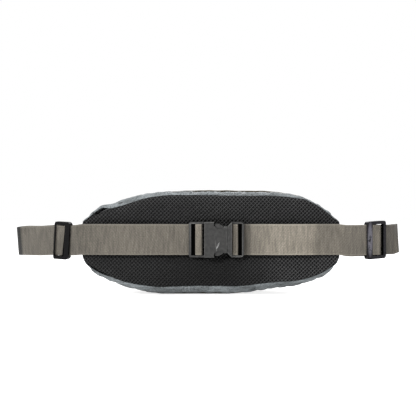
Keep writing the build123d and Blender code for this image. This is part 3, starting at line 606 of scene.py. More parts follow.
# %% Moulded plastic
def moulded(name, colour, mark_colour, roughness, grain, edge_wear_and_highlight=0.5, metallic=0.0, cloudy=0.12, specular=0.5):
    material, tree, shader, place = new_material(name)
    where = place.outputs["Object"]
    skin = node(tree, "ShaderNodeTexNoise", {"Vector": where, "Scale": 1800.0, "Detail": 3.0})
    swirl = use(tree, mottle, Place=where, Size=0.004, Colour=(*colour, 1), Amount=cloudy)
    sharp = node(tree, "ShaderNodeNewGeometry").outputs["Pointiness"]
    scuffs = node(
        tree, "ShaderNodeTexNoise", {"Vector": where, "Scale": 420.0, "Detail": 4.0, "Roughness": 0.7}
    )
    # Pale edges: partly wear, partly a painted highlight along the edges.
    on_edges = spread(tree, sharp, 0.52, 0.60, 0, edge_wear_and_highlight)
    wear_and_highlight_share = math_node(tree, "MULTIPLY", on_edges, spread(tree, scuffs.outputs[0], 0.35, 0.6, 0.25, 1))
    tree.links.new(mix_colours(tree, wear_and_highlight_share, swirl.outputs["Colour"], mark_colour), shader.inputs["Base Color"])
    satin = spread(tree, scuffs.outputs[0], 0.3, 0.7, roughness - 0.06, roughness + 0.08)
    tree.links.new(satin, shader.inputs["Roughness"])
    tree.links.new(bump(tree, [(skin.outputs[0], grain)]), shader.inputs["Normal"])
    shader.inputs["Metallic"].default_value = metallic
    shader.inputs["Specular IOR Level"].default_value = specular
    return material


def painted_light_patch(material, centre, half_size, turn, colour, amount, size, gaps=0.42):
    """Adds one patch of painted light: a soft oval at a place, broken up by noise."""
    tree = material.node_tree
    shader = tree.nodes["Principled BSDF"]
    place = tree.nodes["Texture Coordinate"].outputs["Object"]
    inputs = {"Vector": place, "Location": centre, "Rotation": (0, math.radians(turn), 0), "Scale": half_size}
    oval = node(tree, "ShaderNodeMapping", inputs, vector_type="TEXTURE")
    distance = node(tree, "ShaderNodeVectorMath", {0: oval.outputs[0]}, operation="LENGTH").outputs["Value"]
    broken = node(tree, "ShaderNodeTexNoise", {"Vector": place, "Scale": 1 / size, "Detail": 3.0})
    inside = spread(tree, distance, 0.6, 1, 1, 0)
    share = math_node(tree, "MULTIPLY", inside, spread(tree, broken.outputs[0], gaps, gaps + 0.14, 0, 1))
    before = shader.inputs["Base Color"].links[0].from_socket
    after = mix_colours(tree, math_node(tree, "MULTIPLY", share, amount), before, colour)
    tree.links.new(after, shader.inputs["Base Color"])


# The buckle has a pale streak low on its body, which is a painted highlight. The whole right
# tri-glide is painted paler, as light falling on it, and its wide bar has a painted highlight.
acetal = moulded(
    "acetal", (0.031, 0.0305, 0.0295), (0.19, 0.19, 0.185), 0.44, 0.00004, edge_wear_and_highlight=0.6, cloudy=0.45
)
# A painted highlight: a pale streak on the buckle's body.
painted_light_patch(acetal, (0.0088, -0.0487, 0.0662), (0.0011, 0.03, 0.0055), 24, (0.42, 0.42, 0.42), 0.9, 0.0009)
gloss_black = moulded(
    "gloss_black", (0.003, 0.003, 0.0034), (0.04, 0.04, 0.04), 0.24, 0.00001, edge_wear_and_highlight=0.2, specular=0.1
)
painted_light_tone, painted_highlight_tone = (0.030, 0.029, 0.033), (0.16, 0.155, 0.18)
# Painted light: the right tri-glide is made paler all over.
painted_light_patch(gloss_black, (0.2220, -0.035, 0.0737), (0.026, 0.06, 0.040), 0, painted_light_tone, 0.8, 0.003, gaps=0.28)
# A painted highlight on the right tri-glide's wide bar.
painted_light_patch(gloss_black, (0.2100, -0.035, 0.0737), (0.0042, 0.05, 0.026), 0, painted_highlight_tone, 0.95, 0.004, gaps=0.30)
# A black with no shine, for the plates of painted shade in the slots.
shade_black = moulded("shade_black", (0.001, 0.001, 0.001), (0.002, 0.002, 0.002), 0.9, 0.00002, specular=0.0)
coil_nylon = moulded("coil_nylon", (0.016, 0.016, 0.017), (0.06, 0.06, 0.06), 0.30, 0.00001)
black_metal = moulded("black_metal", (0.028, 0.028, 0.03), (0.28, 0.27, 0.26), 0.30, 0.00002, metallic=0.7)
pull_rubber = moulded("pull_rubber", (0.02, 0.02, 0.021), (0.07, 0.07, 0.07), 0.55, 0.00006)

# %% [markdown]
# ## The bag's shell
# The shell is six long pattern pieces between the wings, and a wing at each side. Each is a
# sheet lofted through sections across the bag. The sections are drawn as the CAD shell's are,
# and the sag and hang given above then move their seams by a few millimetres at most.


# %% Sections of the shell, in depth and height
def zip_point(zip_size, x, across):
    """A point on a curved zip at x, moved across its tape."""
    tilt = math.radians(zip_size["tilt"])
    sag = zip_size["radius"] - math.sqrt(zip_size["radius"] ** 2 - x**2)
    y = zip_size["y"] - sag * math.sin(tilt) + across * math.cos(tilt)
    z = zip_size["z"] - sag * math.cos(tilt) - across * math.sin(tilt)
    return (y, z)


def bowed(start, end, fullness):
    """Start, a middle pushed outwards, and end."""
    dy, dz = end[0] - start[0], end[1] - start[1]
    pushed = ((start[0] + end[0]) / 2 - dz * fullness, (start[1] + end[1]) / 2 + dy * fullness)
    return [start, pushed, end]


def quarter_roll(x, top):
    edge = panel_top(x) if top else panel_bottom(x)
    far = crest(x) if top else belly(x)
    turns = [math.radians(a) for a in (0, 20, 40, 60, 78, 90)]
    return [(roll_depth(x) * (1 - math.cos(a)), edge + (far - edge) * math.sin(a)) for a in turns]


def bottom_seam(x):
    return (depth(x) - 8, belly(x) + 14)


def crown(x):
    """The stuffed top panel stands a little higher than the gusset along the middle."""
    return 2.3 * math.exp(-abs((x - 22) / 66) ** 4)


def gusset_lift(x):
    """The lower gusset is drawn up a little from the floor by its seam."""
    return 2.2 * math.exp(-abs((x + 16) / 56) ** 4)


def behind_zip(zip_size, x):
    return zip_point(zip_size, x, -ZIP_HALF_GAP)


def before_zip(zip_size, x):
    return zip_point(zip_size, x, ZIP_HALF_GAP)


def top_section(x):
    return bowed((past_piping(x), crest(x) - PIPING_SINK + crown(x)), behind_zip(MAIN_ZIP, x), 0.05)


def bottom_section(x):
    floor_edge = (depth(x) * FLAT_DEPTH_SHARE, belly(x))
    return bowed(bottom_seam(x), floor_edge, 0.16) + [(past_piping(x), belly(x))]


PANELS = {
    "rear_gusset_top": (9, lambda x: quarter_roll(x, True)),
    "top_panel": (13, top_section),
    "front_upper_panel": (20, lambda x: bowed(before_zip(MAIN_ZIP, x), behind_zip(POCKET_ZIP, x), 0.12)),
    "front_pocket_panel": (28, lambda x: bowed(before_zip(POCKET_ZIP, x), bottom_seam(x), 0.09)),
    "bottom_panel": (26, bottom_section),
    "rear_gusset_bottom": (9, lambda x: [(y, z + gusset_lift(x)) for y, z in quarter_roll(x, False)[::-1]]),
}
COLUMNS = 99
across_bag = np.linspace(-WING_SEAM, WING_SEAM, COLUMNS)
centre_rows = {}
for name, (count, line) in PANELS.items():
    sections = [through(line(x), count) for x in across_bag]
    rows = [[placed(x, *section[i]) for x, section in zip(across_bag, sections)] for i in range(count)]
    centre_rows[name] = np.array(rows)
print("shell sections:", COLUMNS, "across,", sum(c for c, _ in PANELS.values()), "round")

# %% [markdown]
# ### The wings
# A wing is one more loft. It starts on the ring of seams at the end of the six panels and
# closes down to the side seam, where it is stitched flat round the belt's webbing.

# %% Sections of a wing
WING_BENDS = [(0.57, 0.04), (0.82, 0.10), (0.96, 0.30), (1.0, 0.50), (0.97, 0.68), (0.84, 0.87), (0.6, 1.0)]
WING_COLUMNS = 19
WING_ROWS = 111
SEAM_PINCH = 8.0


def wing_ring(x):
    high, low, deep = crest(x), belly(x), depth(x)
    front = [(deep * out, high - (high - low) * down) for out, down in WING_BENDS]
    return quarter_roll(x, True) + front + quarter_roll(x, False)[::-1]


def ring_at_seam(side):
    """The centre panels' last column, all the way round."""
    column = -1 if side > 0 else 0
    ring = np.concatenate([centre_rows[name][:, column] for name in PANELS])
    return through(ring, WING_ROWS)


def wing_rows(side):
    seam_ring = np.array([placed(side * WING_SEAM, *p) for p in through(wing_ring(WING_SEAM), WING_ROWS)])
    off_by = ring_at_seam(side) - seam_ring
    columns = []
    for along in np.linspace(0, 1, WING_COLUMNS):
        x = WING_SEAM + (HALF_WIDTH - WING_SEAM) * along
        ring = through(wing_ring(x), WING_ROWS)
        pinch = np.clip((x - (HALF_WIDTH - SEAM_PINCH)) / SEAM_PINCH, 0, 1)
        flattened = SEAM_WEB_Y + (ring[:, 0] - SEAM_WEB_Y) * 0.42
        ring[:, 0] += (flattened - ring[:, 0]) * pinch**1.5
        points = np.array([placed(side * x, *p) for p in ring])
        columns.append(points + off_by * (1 - ease(along, 0, 0.5)))
    return np.array(columns).transpose(1, 0, 2)


# %% [markdown]
# ### Sewing and stuffing it
# All the sheets are joined, and a cloth simulation blows them up a little while their seams
# are pinned. The cloth is cut 3.5 per cent too large for its place, as a sewn bag's is, so it
# buckles into real puckers along the seams. No point may move more than 4 mm.


# %% The simulation
def steps_from_end(count):
    return np.minimum(np.arange(count), np.arange(count)[::-1])


def pin_weights(shape):
    """1 on the edges of a sheet, fading to 0 three rows in."""
    tall, wide = shape
    edge = np.minimum.outer(steps_from_end(tall), steps_from_end(wide))
    return np.clip(1 - edge / 3, 0, 1)


def stuff(objects, grids, slack=0.035, pressure=0.9, farthest=4.0, frames=18):
    """Simulates the joined sheets and gives each its new points."""
    copies = []
    for obj in objects:
        copy = obj.copy()
        copy.data = obj.data.copy()
        bpy.context.scene.collection.objects.link(copy)
        copies.append(copy)
    counts = [len(obj.data.vertices) for obj in objects]
    work = join(copies, "cloth_work")
    rest = points_of(work)
    rough = rest.copy()
    for i, p in enumerate(rest):
        rough[i, 1] += 0.35 * MM * fine_noise(p, 14, 3.0)
        rough[i, 2] += 0.35 * MM * fine_noise(p, 11, 9.0)
    set_points(work, rough)
    pins = work.vertex_groups.new(name="pins")
    weights = np.concatenate([pin_weights(grid).reshape(-1) for grid in grids])
    for i, weight in enumerate(weights):
        pins.add([i], float(weight), "REPLACE")
    cloth = work.modifiers.new("Cloth", "CLOTH")
    cloth.settings.quality = 5
    cloth.settings.mass = 0.15
    cloth.settings.tension_stiffness = 12
    cloth.settings.compression_stiffness = 12
    cloth.settings.shear_stiffness = 5
    cloth.settings.bending_stiffness = 0.08
    cloth.settings.vertex_group_mass = "pins"
    cloth.settings.pin_stiffness = 1.0
    cloth.settings.shrink_min = -slack
    cloth.settings.shrink_max = -slack
    cloth.settings.use_pressure = True
    cloth.settings.uniform_pressure_force = pressure
    cloth.settings.effector_weights.gravity = 0
    cloth.collision_settings.use_collision = False
    scene = bpy.context.scene
    scene.frame_start, scene.frame_end = 1, frames
    cloth.point_cache.frame_end = frames
    for frame_number in range(1, frames + 1):
        scene.frame_set(frame_number)
    shown = work.evaluated_get(bpy.context.evaluated_depsgraph_get())
    moved = np.zeros(len(shown.data.vertices) * 3)
    shown.data.vertices.foreach_get("co", moved)
    moved = moved.reshape(-1, 3)
    scene.frame_set(1)
    step = moved - rest
    size = np.linalg.norm(step, axis=1, keepdims=True)
    limit = farthest * MM
    step *= np.where(size > 1e-9, limit * np.tanh(size / limit) / np.maximum(size, 1e-9), 1)
    result = rest + step
    print("cloth moved by at most", round(float(size.max()) / MM, 1), "mm")
    bpy.data.objects.remove(work)
    start = 0
    for obj, count in zip(objects, counts):
        set_points(obj, result[start : start + count])
        start += count


# %% Build, stuff and finish the shell
shell = {name: sheet(name + "_cloth", rows) for name, rows in centre_rows.items()}
shell["left_wing"] = sheet("left_wing_cloth", wing_rows(-1))
shell["right_wing"] = sheet("right_wing_cloth", wing_rows(1))
grids = {name: rows.shape[:2] for name, rows in centre_rows.items()}
grids["left_wing"] = grids["right_wing"] = (WING_ROWS, WING_COLUMNS)
stuff(list(shell.values()), [grids[name] for name in shell])

SHELL_CLOTH = {
    "rear_gusset_top": grey_nylon, "rear_gusset_bottom": grey_nylon, "left_wing": grey_nylon,
    "right_wing": grey_nylon, "top_panel": taupe_cloth, "front_upper_panel": taupe_cloth,
    "front_pocket_panel": taupe_cloth, "bottom_panel": taupe_cloth,
}


def point_outwards(obj, centre):
    """Makes a sheet's faces point away from the bag's middle."""
    total = sum((f.center - centre).dot(f.normal) * f.area for f in obj.data.polygons)
    if total < 0:
        flip_faces(obj)


def crumple(obj, grid, depth_mm, size):
    """Fine puckers, deepest beside the seams, and a tuck along each seam."""
    tall, wide = grid
    points = points_of(obj).reshape(tall, wide, 3)
    normals = np.zeros(len(obj.data.vertices) * 3)
    obj.data.vertex_normals.foreach_get("vector", normals)
    normals = normals.reshape(tall, wide, 3)
    rows_from_seam = steps_from_end(tall)
    for i in range(tall):
        near = math.exp(-rows_from_seam[i] / 2.2)
        tuck = (0.9, 0.25)[rows_from_seam[i]] if rows_from_seam[i] < 2 else 0
        for j in range(wide):
            p = points[i, j]
            along = Vector((p[0], 0, 0)) if wide > tall else Vector((0, p[1], p[2]))
            pucker = fine_noise(along + Vector((0, 0, p[2] * 0.15)), size * 0.7, 5.0)
            broad = fine_noise(p, size * 2.2, 1.0)
            lift = depth_mm * (0.75 * pucker * near + 0.5 * broad * (1 - near)) - tuck
            points[i, j] += normals[i, j] * lift * MM
    set_points(obj, points)


LOWEST, SHELL_THICK = 0.6, 0.9
bag_centre = placed(0, DEPTH * 0.45, HEIGHT / 2)
for name, obj in shell.items():
    point_outwards(obj, bag_centre)
    crumple(obj, grids[name], 0.9 if SHELL_CLOTH[name] is grey_nylon else 0.6, 9)
    points = points_of(obj)
    points[:, 2] = np.maximum(points[:, 2], LOWEST * MM)
    set_points(obj, points)
    modify(obj, "SUBSURF", levels=1, render_levels=1)
    modify(obj, "SOLIDIFY", thickness=SHELL_THICK * MM, offset=-1)
    smooth(obj, 60)
    obj.data.materials.clear()
    obj.data.materials.append(SHELL_CLOTH[name])
    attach(obj, "pack")
    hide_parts(name)
print("shell pieces:", len(shell))

# %% [markdown]
# ## The padded back panel
# Spacer mesh is a knit with rows of small holes, staggered like bricks. A grid turned by 45
# degrees is such a pattern already: each square's middle is one hole. Insetting every face
# with a little depth makes the holes. The flat pattern is then laid over the foam, which
# swells above and below the belt and is pressed flat beneath it.

# %% The mesh with its holes
HOLE_PITCH, ROW_PITCH = 5.0, 5.0
HOLE_RIM, HOLE_DEPTH = 0.52, 1.1
CELLS, HALF_TALL = 100, 68.0
select_only()
bpy.ops.mesh.primitive_grid_add(x_subdivisions=CELLS, y_subdivisions=CELLS, size=CELLS * math.sqrt(0.5))
back_mesh = bpy.context.object
back_mesh.name = back_mesh.data.name = "back_panel_mesh"
bpy.ops.object.mode_set(mode="EDIT")
bpy.ops.mesh.select_all(action="SELECT")
bpy.ops.transform.rotate(value=math.radians(45), orient_axis="Z", center_override=(0, 0, 0))
bpy.ops.transform.resize(value=(HOLE_PITCH * MM, ROW_PITCH * MM, 1), center_override=(0, 0, 0))
bpy.ops.mesh.select_all(action="SELECT")
for side in (-1, 1):
    bpy.ops.mesh.select_all(action="SELECT")
    bpy.ops.mesh.bisect(plane_co=(side * HALF_WIDTH * MM, 0, 0), plane_no=(side, 0, 0), clear_outer=True)
    bpy.ops.mesh.select_all(action="SELECT")
    bpy.ops.mesh.bisect(plane_co=(0, side * HALF_TALL * MM, 0), plane_no=(0, side, 0), clear_outer=True)
bpy.ops.mesh.select_all(action="SELECT")
bpy.ops.mesh.select_mode(type="FACE")
bpy.ops.mesh.inset(thickness=HOLE_RIM * MM, depth=-HOLE_DEPTH * MM, use_individual=True)
bpy.ops.object.mode_set(mode="OBJECT")
print("holes in the back panel:", sum(f.select for f in back_mesh.data.polygons))

# %% Lay it over the foam
mesh_middle = 73.0
# How deep each point lies in its hole, which the material turns into painted shade.
pit_shade = back_mesh.data.attributes.new("pit_shade", "FLOAT", "POINT")
flat = points_of(back_mesh)
pit_depth = -flat[:, 2]
pit_shade.data.foreach_set("value", np.clip(pit_depth / (HOLE_DEPTH * MM), 0, 1))
pressed_half = WEBBING / 2 + 3.5


def swell(x, z):
    """How far the padding stands out of its flat face at a point, in millimetres."""
    if z > BELT_HEIGHT:
        low, high = BELT_HEIGHT + pressed_half, panel_top(x)
    else:
        low, high = panel_bottom(x), BELT_HEIGHT - pressed_half
    share = (z - low) / max(high - low, 1)
    if not 0 < share < 1:
        return 0.0
    side = max(0.0, 1 - share_out(x) ** 5)
    return 5.0 * side * math.sin(math.pi * share) ** 0.7 * min(1, (high - low) / 28)


laid = np.zeros_like(flat)
for i, (x, v, _) in enumerate(flat / MM):
    x = max(-HALF_WIDTH + 0.4, min(HALF_WIDTH - 0.4, x))
    z = max(panel_bottom(x) + gusset_lift(x) - 0.1, min(panel_top(x) + 0.1, mesh_middle + v))
    from_edge = min(panel_top(x) - z, z - panel_bottom(x) - gusset_lift(x), HALF_WIDTH - abs(x))
    hem = 1.3 * math.exp(-max(from_edge, 0) / 1.8)
    loose = 0.5 * fine_noise((x * MM, 0, z * MM), 32, 2.0) + 0.25 * fine_noise((x * MM, 0, z * MM), 13, 4.0)
    quiet = 0.35 if abs(z - BELT_HEIGHT) < WEBBING / 2 + 4 else 1.0
    out = swell(x, z) + quiet * loose - 0.15 - (1 - quiet) * 0.25 - hem - pit_depth[i] / MM
    laid[i] = placed(x, -out, z)
set_points(back_mesh, laid)
select_only(back_mesh)
bpy.ops.object.mode_set(mode="EDIT")
bpy.ops.mesh.select_all(action="SELECT")
bpy.ops.mesh.remove_doubles(threshold=0.00005)
bpy.ops.mesh.dissolve_degenerate(threshold=0.00002)
bpy.ops.object.mode_set(mode="OBJECT")
if sum(f.normal.y * f.area for f in back_mesh.data.polygons) > 0:
    flip_faces(back_mesh)
smooth(back_mesh, 75)
back_mesh.data.materials.append(spacer_mesh)
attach(back_mesh, "pack")
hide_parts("back_mesh")
print("back panel triangles:", sum(len(f.vertices) - 2 for f in back_mesh.data.polygons))

# %% [markdown]
# ## The belt
# The belt is flat webbing. We model it directly, as a sheet that stands on its edge along a
# route seen from above: out of the side seam, back round the fold, along the front, over the
# buckle's bar, and back behind itself to the tri-glide. The route's corners are rounded.

# %% The belt's route
BEND_X, BEND_RADIUS = 174.0, 30.0
SWEEP = math.radians(20)
LAYER_GAP, BUCKLE_BAR_THICK = 0.3, 2.4
tail_y = -0.5 - WEBBING_THICK / 2
front_y = tail_y - WEBBING_THICK - LAYER_GAP
layer_pitch = WEBBING_THICK + LAYER_GAP
over_bar_y = tail_y - WEBBING_THICK - 2 * LAYER_GAP - BUCKLE_BAR_THICK
FOLD_SPREAD = 9.0
LEFT = {"reach": 260.2, "triglide": 196.2, "bar": (12.8, 18.5)}
RIGHT = {"reach": 252.0, "triglide": 219.3, "bar": (29.2, 33.0)}
BAR_THICK, CLEARANCE = 1.8, 0.3
NEAR_BAR, CENTRE_BAR, FAR_BAR, SLOT = 8.0, 6.4, 3.2, 4.0
TRIGLIDE_HALF_TALL = 25.0
far_edge = CENTRE_BAR / 2 + SLOT + FAR_BAR
triglide_length = NEAR_BAR + SLOT + CENTRE_BAR + SLOT + FAR_BAR
wrap_behind = layer_pitch + 2 * CLEARANCE + WEBBING_THICK + BAR_THICK


def swept(along, behind):
    """A point on the swept-back stretch, seen from above."""
    x = BEND_X + along * math.cos(SWEEP) - behind * math.sin(SWEEP)
    y = front_y + along * math.sin(SWEEP) + behind * math.cos(SWEEP)
    return (x, y)


def bend_at(y):
    return (BEND_X - (y - front_y) * math.tan(SWEEP / 2), y)


def fold_length(belt):
    turn = FOLD_SPREAD / 2
    straight = belt["reach"] - BEND_X + turn * math.sin(SWEEP) - turn - WEBBING_THICK / 2
    return straight / math.cos(SWEEP) + turn


def triglide_along(belt):
    return (belt["triglide"] - BEND_X) / math.cos(SWEEP)


def rounded(route, radii, step=1.6):
    """The route with an arc at each corner, as evenly spaced points."""
    line = [Vector(route[0])]
    for before, corner, after, radius in zip(route, route[1:], route[2:], radii):
        corner = Vector(corner)
        into = (corner - Vector(before)).normalized()
        out = (Vector(after) - corner).normalized()
        turn = math.acos(max(-1, min(1, into.dot(out))))
        if turn < 1e-4:
            continue
        back = radius * math.tan(turn / 2)
        way = 1 if into.x * out.y - into.y * out.x > 0 else -1
        start = corner - into * back
        centre = start + Vector((-into.y, into.x)) * way * radius
        count = max(3, int(radius * turn / 0.6))
        arm = start - centre
        for i in range(count + 1):
            cos, sin = math.cos(way * turn * i / count), math.sin(way * turn * i / count)
            line.append(centre + Vector((arm.x * cos - arm.y * sin, arm.x * sin + arm.y * cos)))
    line.append(Vector(route[-1]))
    line = np.array([tuple(p) for p in line])
    lengths = np.r_[0, np.cumsum(np.linalg.norm(np.diff(line, axis=0), axis=1))]
    count = int(lengths[-1] / step) + 2
    even = np.unique(np.r_[np.linspace(0, lengths[-1], count), lengths[(np.diff(lengths, prepend=-1) < 1.2)]])
    keep = [even[0]]
    for value in even[1:]:
        if value - keep[-1] > 0.3:
            keep.append(value)
    return np.stack([np.interp(keep, lengths, line[:, i]) for i in range(2)], axis=1)


def hang(side, x, y, z):
    """Lets a free end of the belt twist, drop and fold askew, as loose webbing does.

    Where a tri-glide can slide, the twist stays the same, so that it doesn't cut the webbing.
    """
    if side < 0:
        share = 0.55 * ease(x, 164, 181) + 0.45 * ease(x, 245, 260)
        drop = -1.4 * ease(x, 166, 181) - 1.5 * ease(x, 204, 232) - 0.9 * ease(x, 245, 260)
        flatter = 2.6 * ease(x, 245, 258)
    else:
        share = ease(x, 240, 252)
        drop = -1.3 * ease(x, 164, 180) + 1.4 * ease(x, 240, 252)
        flatter = 3.4 * ease(x, 221.5, 227.5) - 1.4 * ease(x, 240, 250)
    turn = math.radians(18) * share * side
    middle_of_fold = (x - BEND_X) * math.tan(SWEEP) + FOLD_SPREAD / 2
    centre_y = front_y + middle_of_fold if x > BEND_X else front_y
    off_y, off_z = y - centre_y, z - BELT_HEIGHT
    if side > 0 and off_y > 2:
        drop -= 2.2 * ease(x, 160, 188) * (1 - ease(x, 222, 244))
    new_x = x + flatter + side * share * 0.7 * off_z / (WEBBING / 2)
    new_y = centre_y + off_y * math.cos(turn) + off_z * math.sin(turn) + flatter * math.tan(SWEEP)
    new_z = BELT_HEIGHT + off_z * math.cos(turn) - 0.3 * off_y * math.sin(turn) + drop
    return new_x, new_y, new_z


LEANS = {-1: (LEFT["triglide"], -0.075, 0.04), 1: (RIGHT["triglide"], 0.0, 0.06)}


def lean(side, x, z):
    """A tri-glide sits a little askew on its belt. Returns the new place and height."""
    centre, slant, rise = LEANS[side]
    up = z - BELT_HEIGHT
    if side < 0:
        from_far_edge = max(centre + far_edge - x, 0)
        narrower = from_far_edge / triglide_length * (1.3 + 1.7 * (up / TRIGLIDE_HALF_TALL) ** 4)
        thinner = 1.2 * min(from_far_edge / FAR_BAR, 1) if x > centre + 5 else 0
        x += narrower + thinner
    return x + slant * up, z + rise * (x - centre)


STAND_OFF = {-1: [(60, 26, 0.8), (120, 30, 1.2)], 1: [(92, 44, 2.6)]}


def stand_off(side, x):
    """How far the front layer stands off the panel between the places that hold it."""
    return sum(high * math.exp(-abs((x - centre) / half) ** 5) for centre, half, high in STAND_OFF[side])


def strip(name, side, route, radii, wave=0.25, askew=False):
    """A belt piece along a route, from the right-hand drawing, mirrored for the left."""
    line = rounded(route, radii)
    ways = np.gradient(line, axis=0)
    ways /= np.linalg.norm(ways, axis=1, keepdims=True)
    rows = []
    half = WEBBING / 2
    for across in np.linspace(-half, half, 13):
        row = []
        for (x, y), (wx, wy) in zip(line, ways):
            lift = wave * fine_noise((x * MM, across * MM * 0.4, y * MM), 28, 7.0 + side)
            edge = 0.12 * fine_noise((x * MM, 0, across * MM), 9, 3.0) * (abs(across) / half) ** 3
            px, py = x - wy * (lift * 0.35 + edge), y + wx * (lift * 0.35 + edge)
            if wx < -0.9 and y < front_y + 0.2 + max(0.0, x - BEND_X) and x > 48:
                py -= stand_off(side, x)
            height = BELT_HEIGHT + across + 0.25 * fine_noise((x * MM, 0, 0), 40, 2.0)
            if askew:
                px, height = lean(side, px, height)
            px, py, pz = hang(side, px, py, height)
            row.append(placed(side * px, py, pz))
        rows.append(row)
    piece = sheet(name, rows)
    modify(piece, "SOLIDIFY", thickness=WEBBING_THICK * MM * 0.96, offset=0, use_even_offset=True)
    modify(piece, "BEVEL", width=0.00035, segments=2, limit_method="ANGLE", angle_limit=math.radians(50))
    smooth(piece, 55)
    piece.data.materials.append(webbing_weave)
    return piece


# %% Routes of the belt's pieces
SEAM_TURN = 8.0
END_LENGTH, WRAP_LENGTH = 9.0, 4.5


def rear_route():
    x, y = swept(0, FOLD_SPREAD)
    turn = (x + (SEAM_WEB_Y - y) * math.cos(SWEEP) / math.sin(SWEEP), SEAM_WEB_Y)
    return [(HALF_WIDTH - SEAM_INSERT, SEAM_WEB_Y), turn]


def fold_route(belt):
    return [swept(fold_length(belt), FOLD_SPREAD), swept(fold_length(belt), 0)]


def front_route(belt):
    near, far = belt["bar"]
    turn_x = near - LAYER_GAP - WEBBING_THICK / 2
    tail = triglide_along(belt) - CENTRE_BAR / 2 - END_LENGTH
    route = [
        bend_at(front_y), (far + 2.2, front_y), (far + 0.7, over_bar_y), (turn_x, over_bar_y),
        (turn_x, tail_y), bend_at(tail_y), swept(tail, layer_pitch),
    ]
    turn = (tail_y - over_bar_y) / 2
    return route, [BEND_RADIUS, 0.9, 0.9, turn, turn, BEND_RADIUS]


def end_route(belt):
    near = triglide_along(belt) - CENTRE_BAR / 2
    turn = triglide_along(belt) + CENTRE_BAR / 2 + CLEARANCE + WEBBING_THICK / 2
    return [
        swept(near - END_LENGTH, layer_pitch), swept(turn, layer_pitch),
        swept(turn, wrap_behind), swept(near - WRAP_LENGTH, wrap_behind),
    ]


wrap_radius = (wrap_behind - layer_pitch) / 2
fold_radius = FOLD_SPREAD / 2
route, radii = front_route(LEFT)
left_belt = strip(
    "left_belt_webbing", -1, rear_route() + fold_route(LEFT) + route, [SEAM_TURN] + [fold_radius] * 2 + radii
)
left_end = strip("left_belt_end", -1, end_route(LEFT), [wrap_radius, wrap_radius], askew=True)
right_end = strip("right_belt_end", 1, end_route(RIGHT), [wrap_radius, wrap_radius], askew=True)
loop_start = fold_length(RIGHT) - fold_radius - 7.0
far_x, far_y = swept(loop_start, FOLD_SPREAD)
near_x, near_y = swept(loop_start, 0)
right_rear = strip("right_belt_back_layer", 1, rear_route() + [(far_x, far_y)], [SEAM_TURN])
right_loop = strip(
    "right_belt_fold", 1, [(far_x, far_y)] + fold_route(RIGHT) + [(near_x, near_y)], [fold_radius] * 2
)
route, radii = front_route(RIGHT)
right_front = strip("right_belt_front_layer", 1, [(near_x, near_y)] + route, radii)

for piece, body, cad_node in (
    (left_belt, "pack", "left_belt"), (left_end, "left_triglide", "left_belt_tail_end"),
    (right_rear, "pack", "right_belt_rear"), (right_front, "plug", "right_belt_front"),
    (right_end, "right_triglide", "right_belt_tail_end"),
):
    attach(piece, body)
    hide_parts(cad_node)
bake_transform(right_loop)
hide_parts("right_belt_loop")
print("belt pieces:", 6)

# %% [markdown]
# ## Buckle, tri-glides and zip hardware
# These are moulded or cast, and their true shapes are the CAD nodes. A moulded part has no
# sharp edge, though, and it is the small round along each edge that catches the light. So
# each is copied from its node, its loose triangles are merged, its flat faces are made whole
# again, and its edges are bevelled.


# %% A moulded piece from its CAD node
WIDE_FACE = 20e-6


def moulded_copy(name, cad_node, material, body, slot, width, segments=2, angle=32):
    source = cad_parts[cad_node]
    piece = bpy.data.objects.new(name, source.data.copy())
    bpy.context.scene.collection.objects.link(piece)
    piece.data.name = name
    piece.data.materials.clear()
    select_only(piece)
    bpy.ops.object.mode_set(mode="EDIT")
    bpy.ops.mesh.select_all(action="SELECT")
    bpy.ops.mesh.remove_doubles(threshold=0.00001)
    bpy.ops.mesh.dissolve_limited(angle_limit=math.radians(1.0))
    bpy.ops.object.mode_set(mode="OBJECT")
    if piece.data.has_custom_normals:
        bpy.ops.mesh.customdata_custom_splitnormals_clear()
    if width:
        modify(
            piece, "BEVEL", width=width * MM, segments=segments, limit_method="ANGLE",
            angle_limit=math.radians(angle), harden_normals=False, use_clamp_overlap=True,
        )
    select_only(piece)
    bpy.ops.object.mode_set(mode="EDIT")
    bpy.ops.mesh.select_all(action="DESELECT")
    bpy.ops.object.mode_set(mode="OBJECT")
    for face in piece.data.polygons:
        face.select = face.area > WIDE_FACE
    bpy.ops.object.mode_set(mode="EDIT")
    bpy.ops.mesh.inset(thickness=width * MM, use_individual=True, use_even_offset=True)
    bpy.ops.object.mode_set(mode="OBJECT")
    smooth(piece, 35)
    modify(piece, "WEIGHTED_NORMAL", mode="FACE_AREA", weight=70, keep_sharp=True)
    piece.data.materials.append(material)
    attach(piece, body)
    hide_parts(cad_node)
    return piece


HARDWARE = [
    ("socket", "buckle_socket", acetal, "pack", "buckle_plastic", 0.45),
    ("plug", "buckle_plug", acetal, "plug", "buckle_plastic", 0.45),
    ("upper_spring_prong", "upper_prong", acetal, "upper_prong", "buckle_plastic", 0.3),
    ("lower_spring_prong", "lower_prong", acetal, "lower_prong", "buckle_plastic", 0.3),
    ("main_slider_body", "main_zip_slider", black_metal, "main_zip_slider", "zip_metal", 0.2),
    ("pocket_slider_body", "pocket_zip_slider", black_metal, "pocket_zip_slider", "zip_metal", 0.2),
    ("main_zip_tab", "main_zip_pull", pull_rubber, "main_zip_pull", "pull_rubber", 0.3),
    ("pocket_zip_tab", "pocket_zip_pull", pull_rubber, "pocket_zip_pull", "pull_rubber", 0.3),
    ("left_glide", "left_triglide", gloss_black, "left_triglide", "triglide_plastic", 0.4),
    ("right_glide", "right_triglide", gloss_black, "right_triglide", "triglide_plastic", 0.4),
]
hardware = {row[1]: moulded_copy(*row) for row in HARDWARE}
for side, cad_node in ((-1, "left_triglide"), (1, "right_triglide")):
    glide = hardware[cad_node]
    points = points_of(glide)
    for i, p in enumerate(points):
        x, z = lean(side, side * p[0] / MM, p[2] / MM)
        x, y, z = hang(side, x, p[1] / MM + middle, z)
        points[i] = placed(side * x, y, z)
    set_points(glide, points)
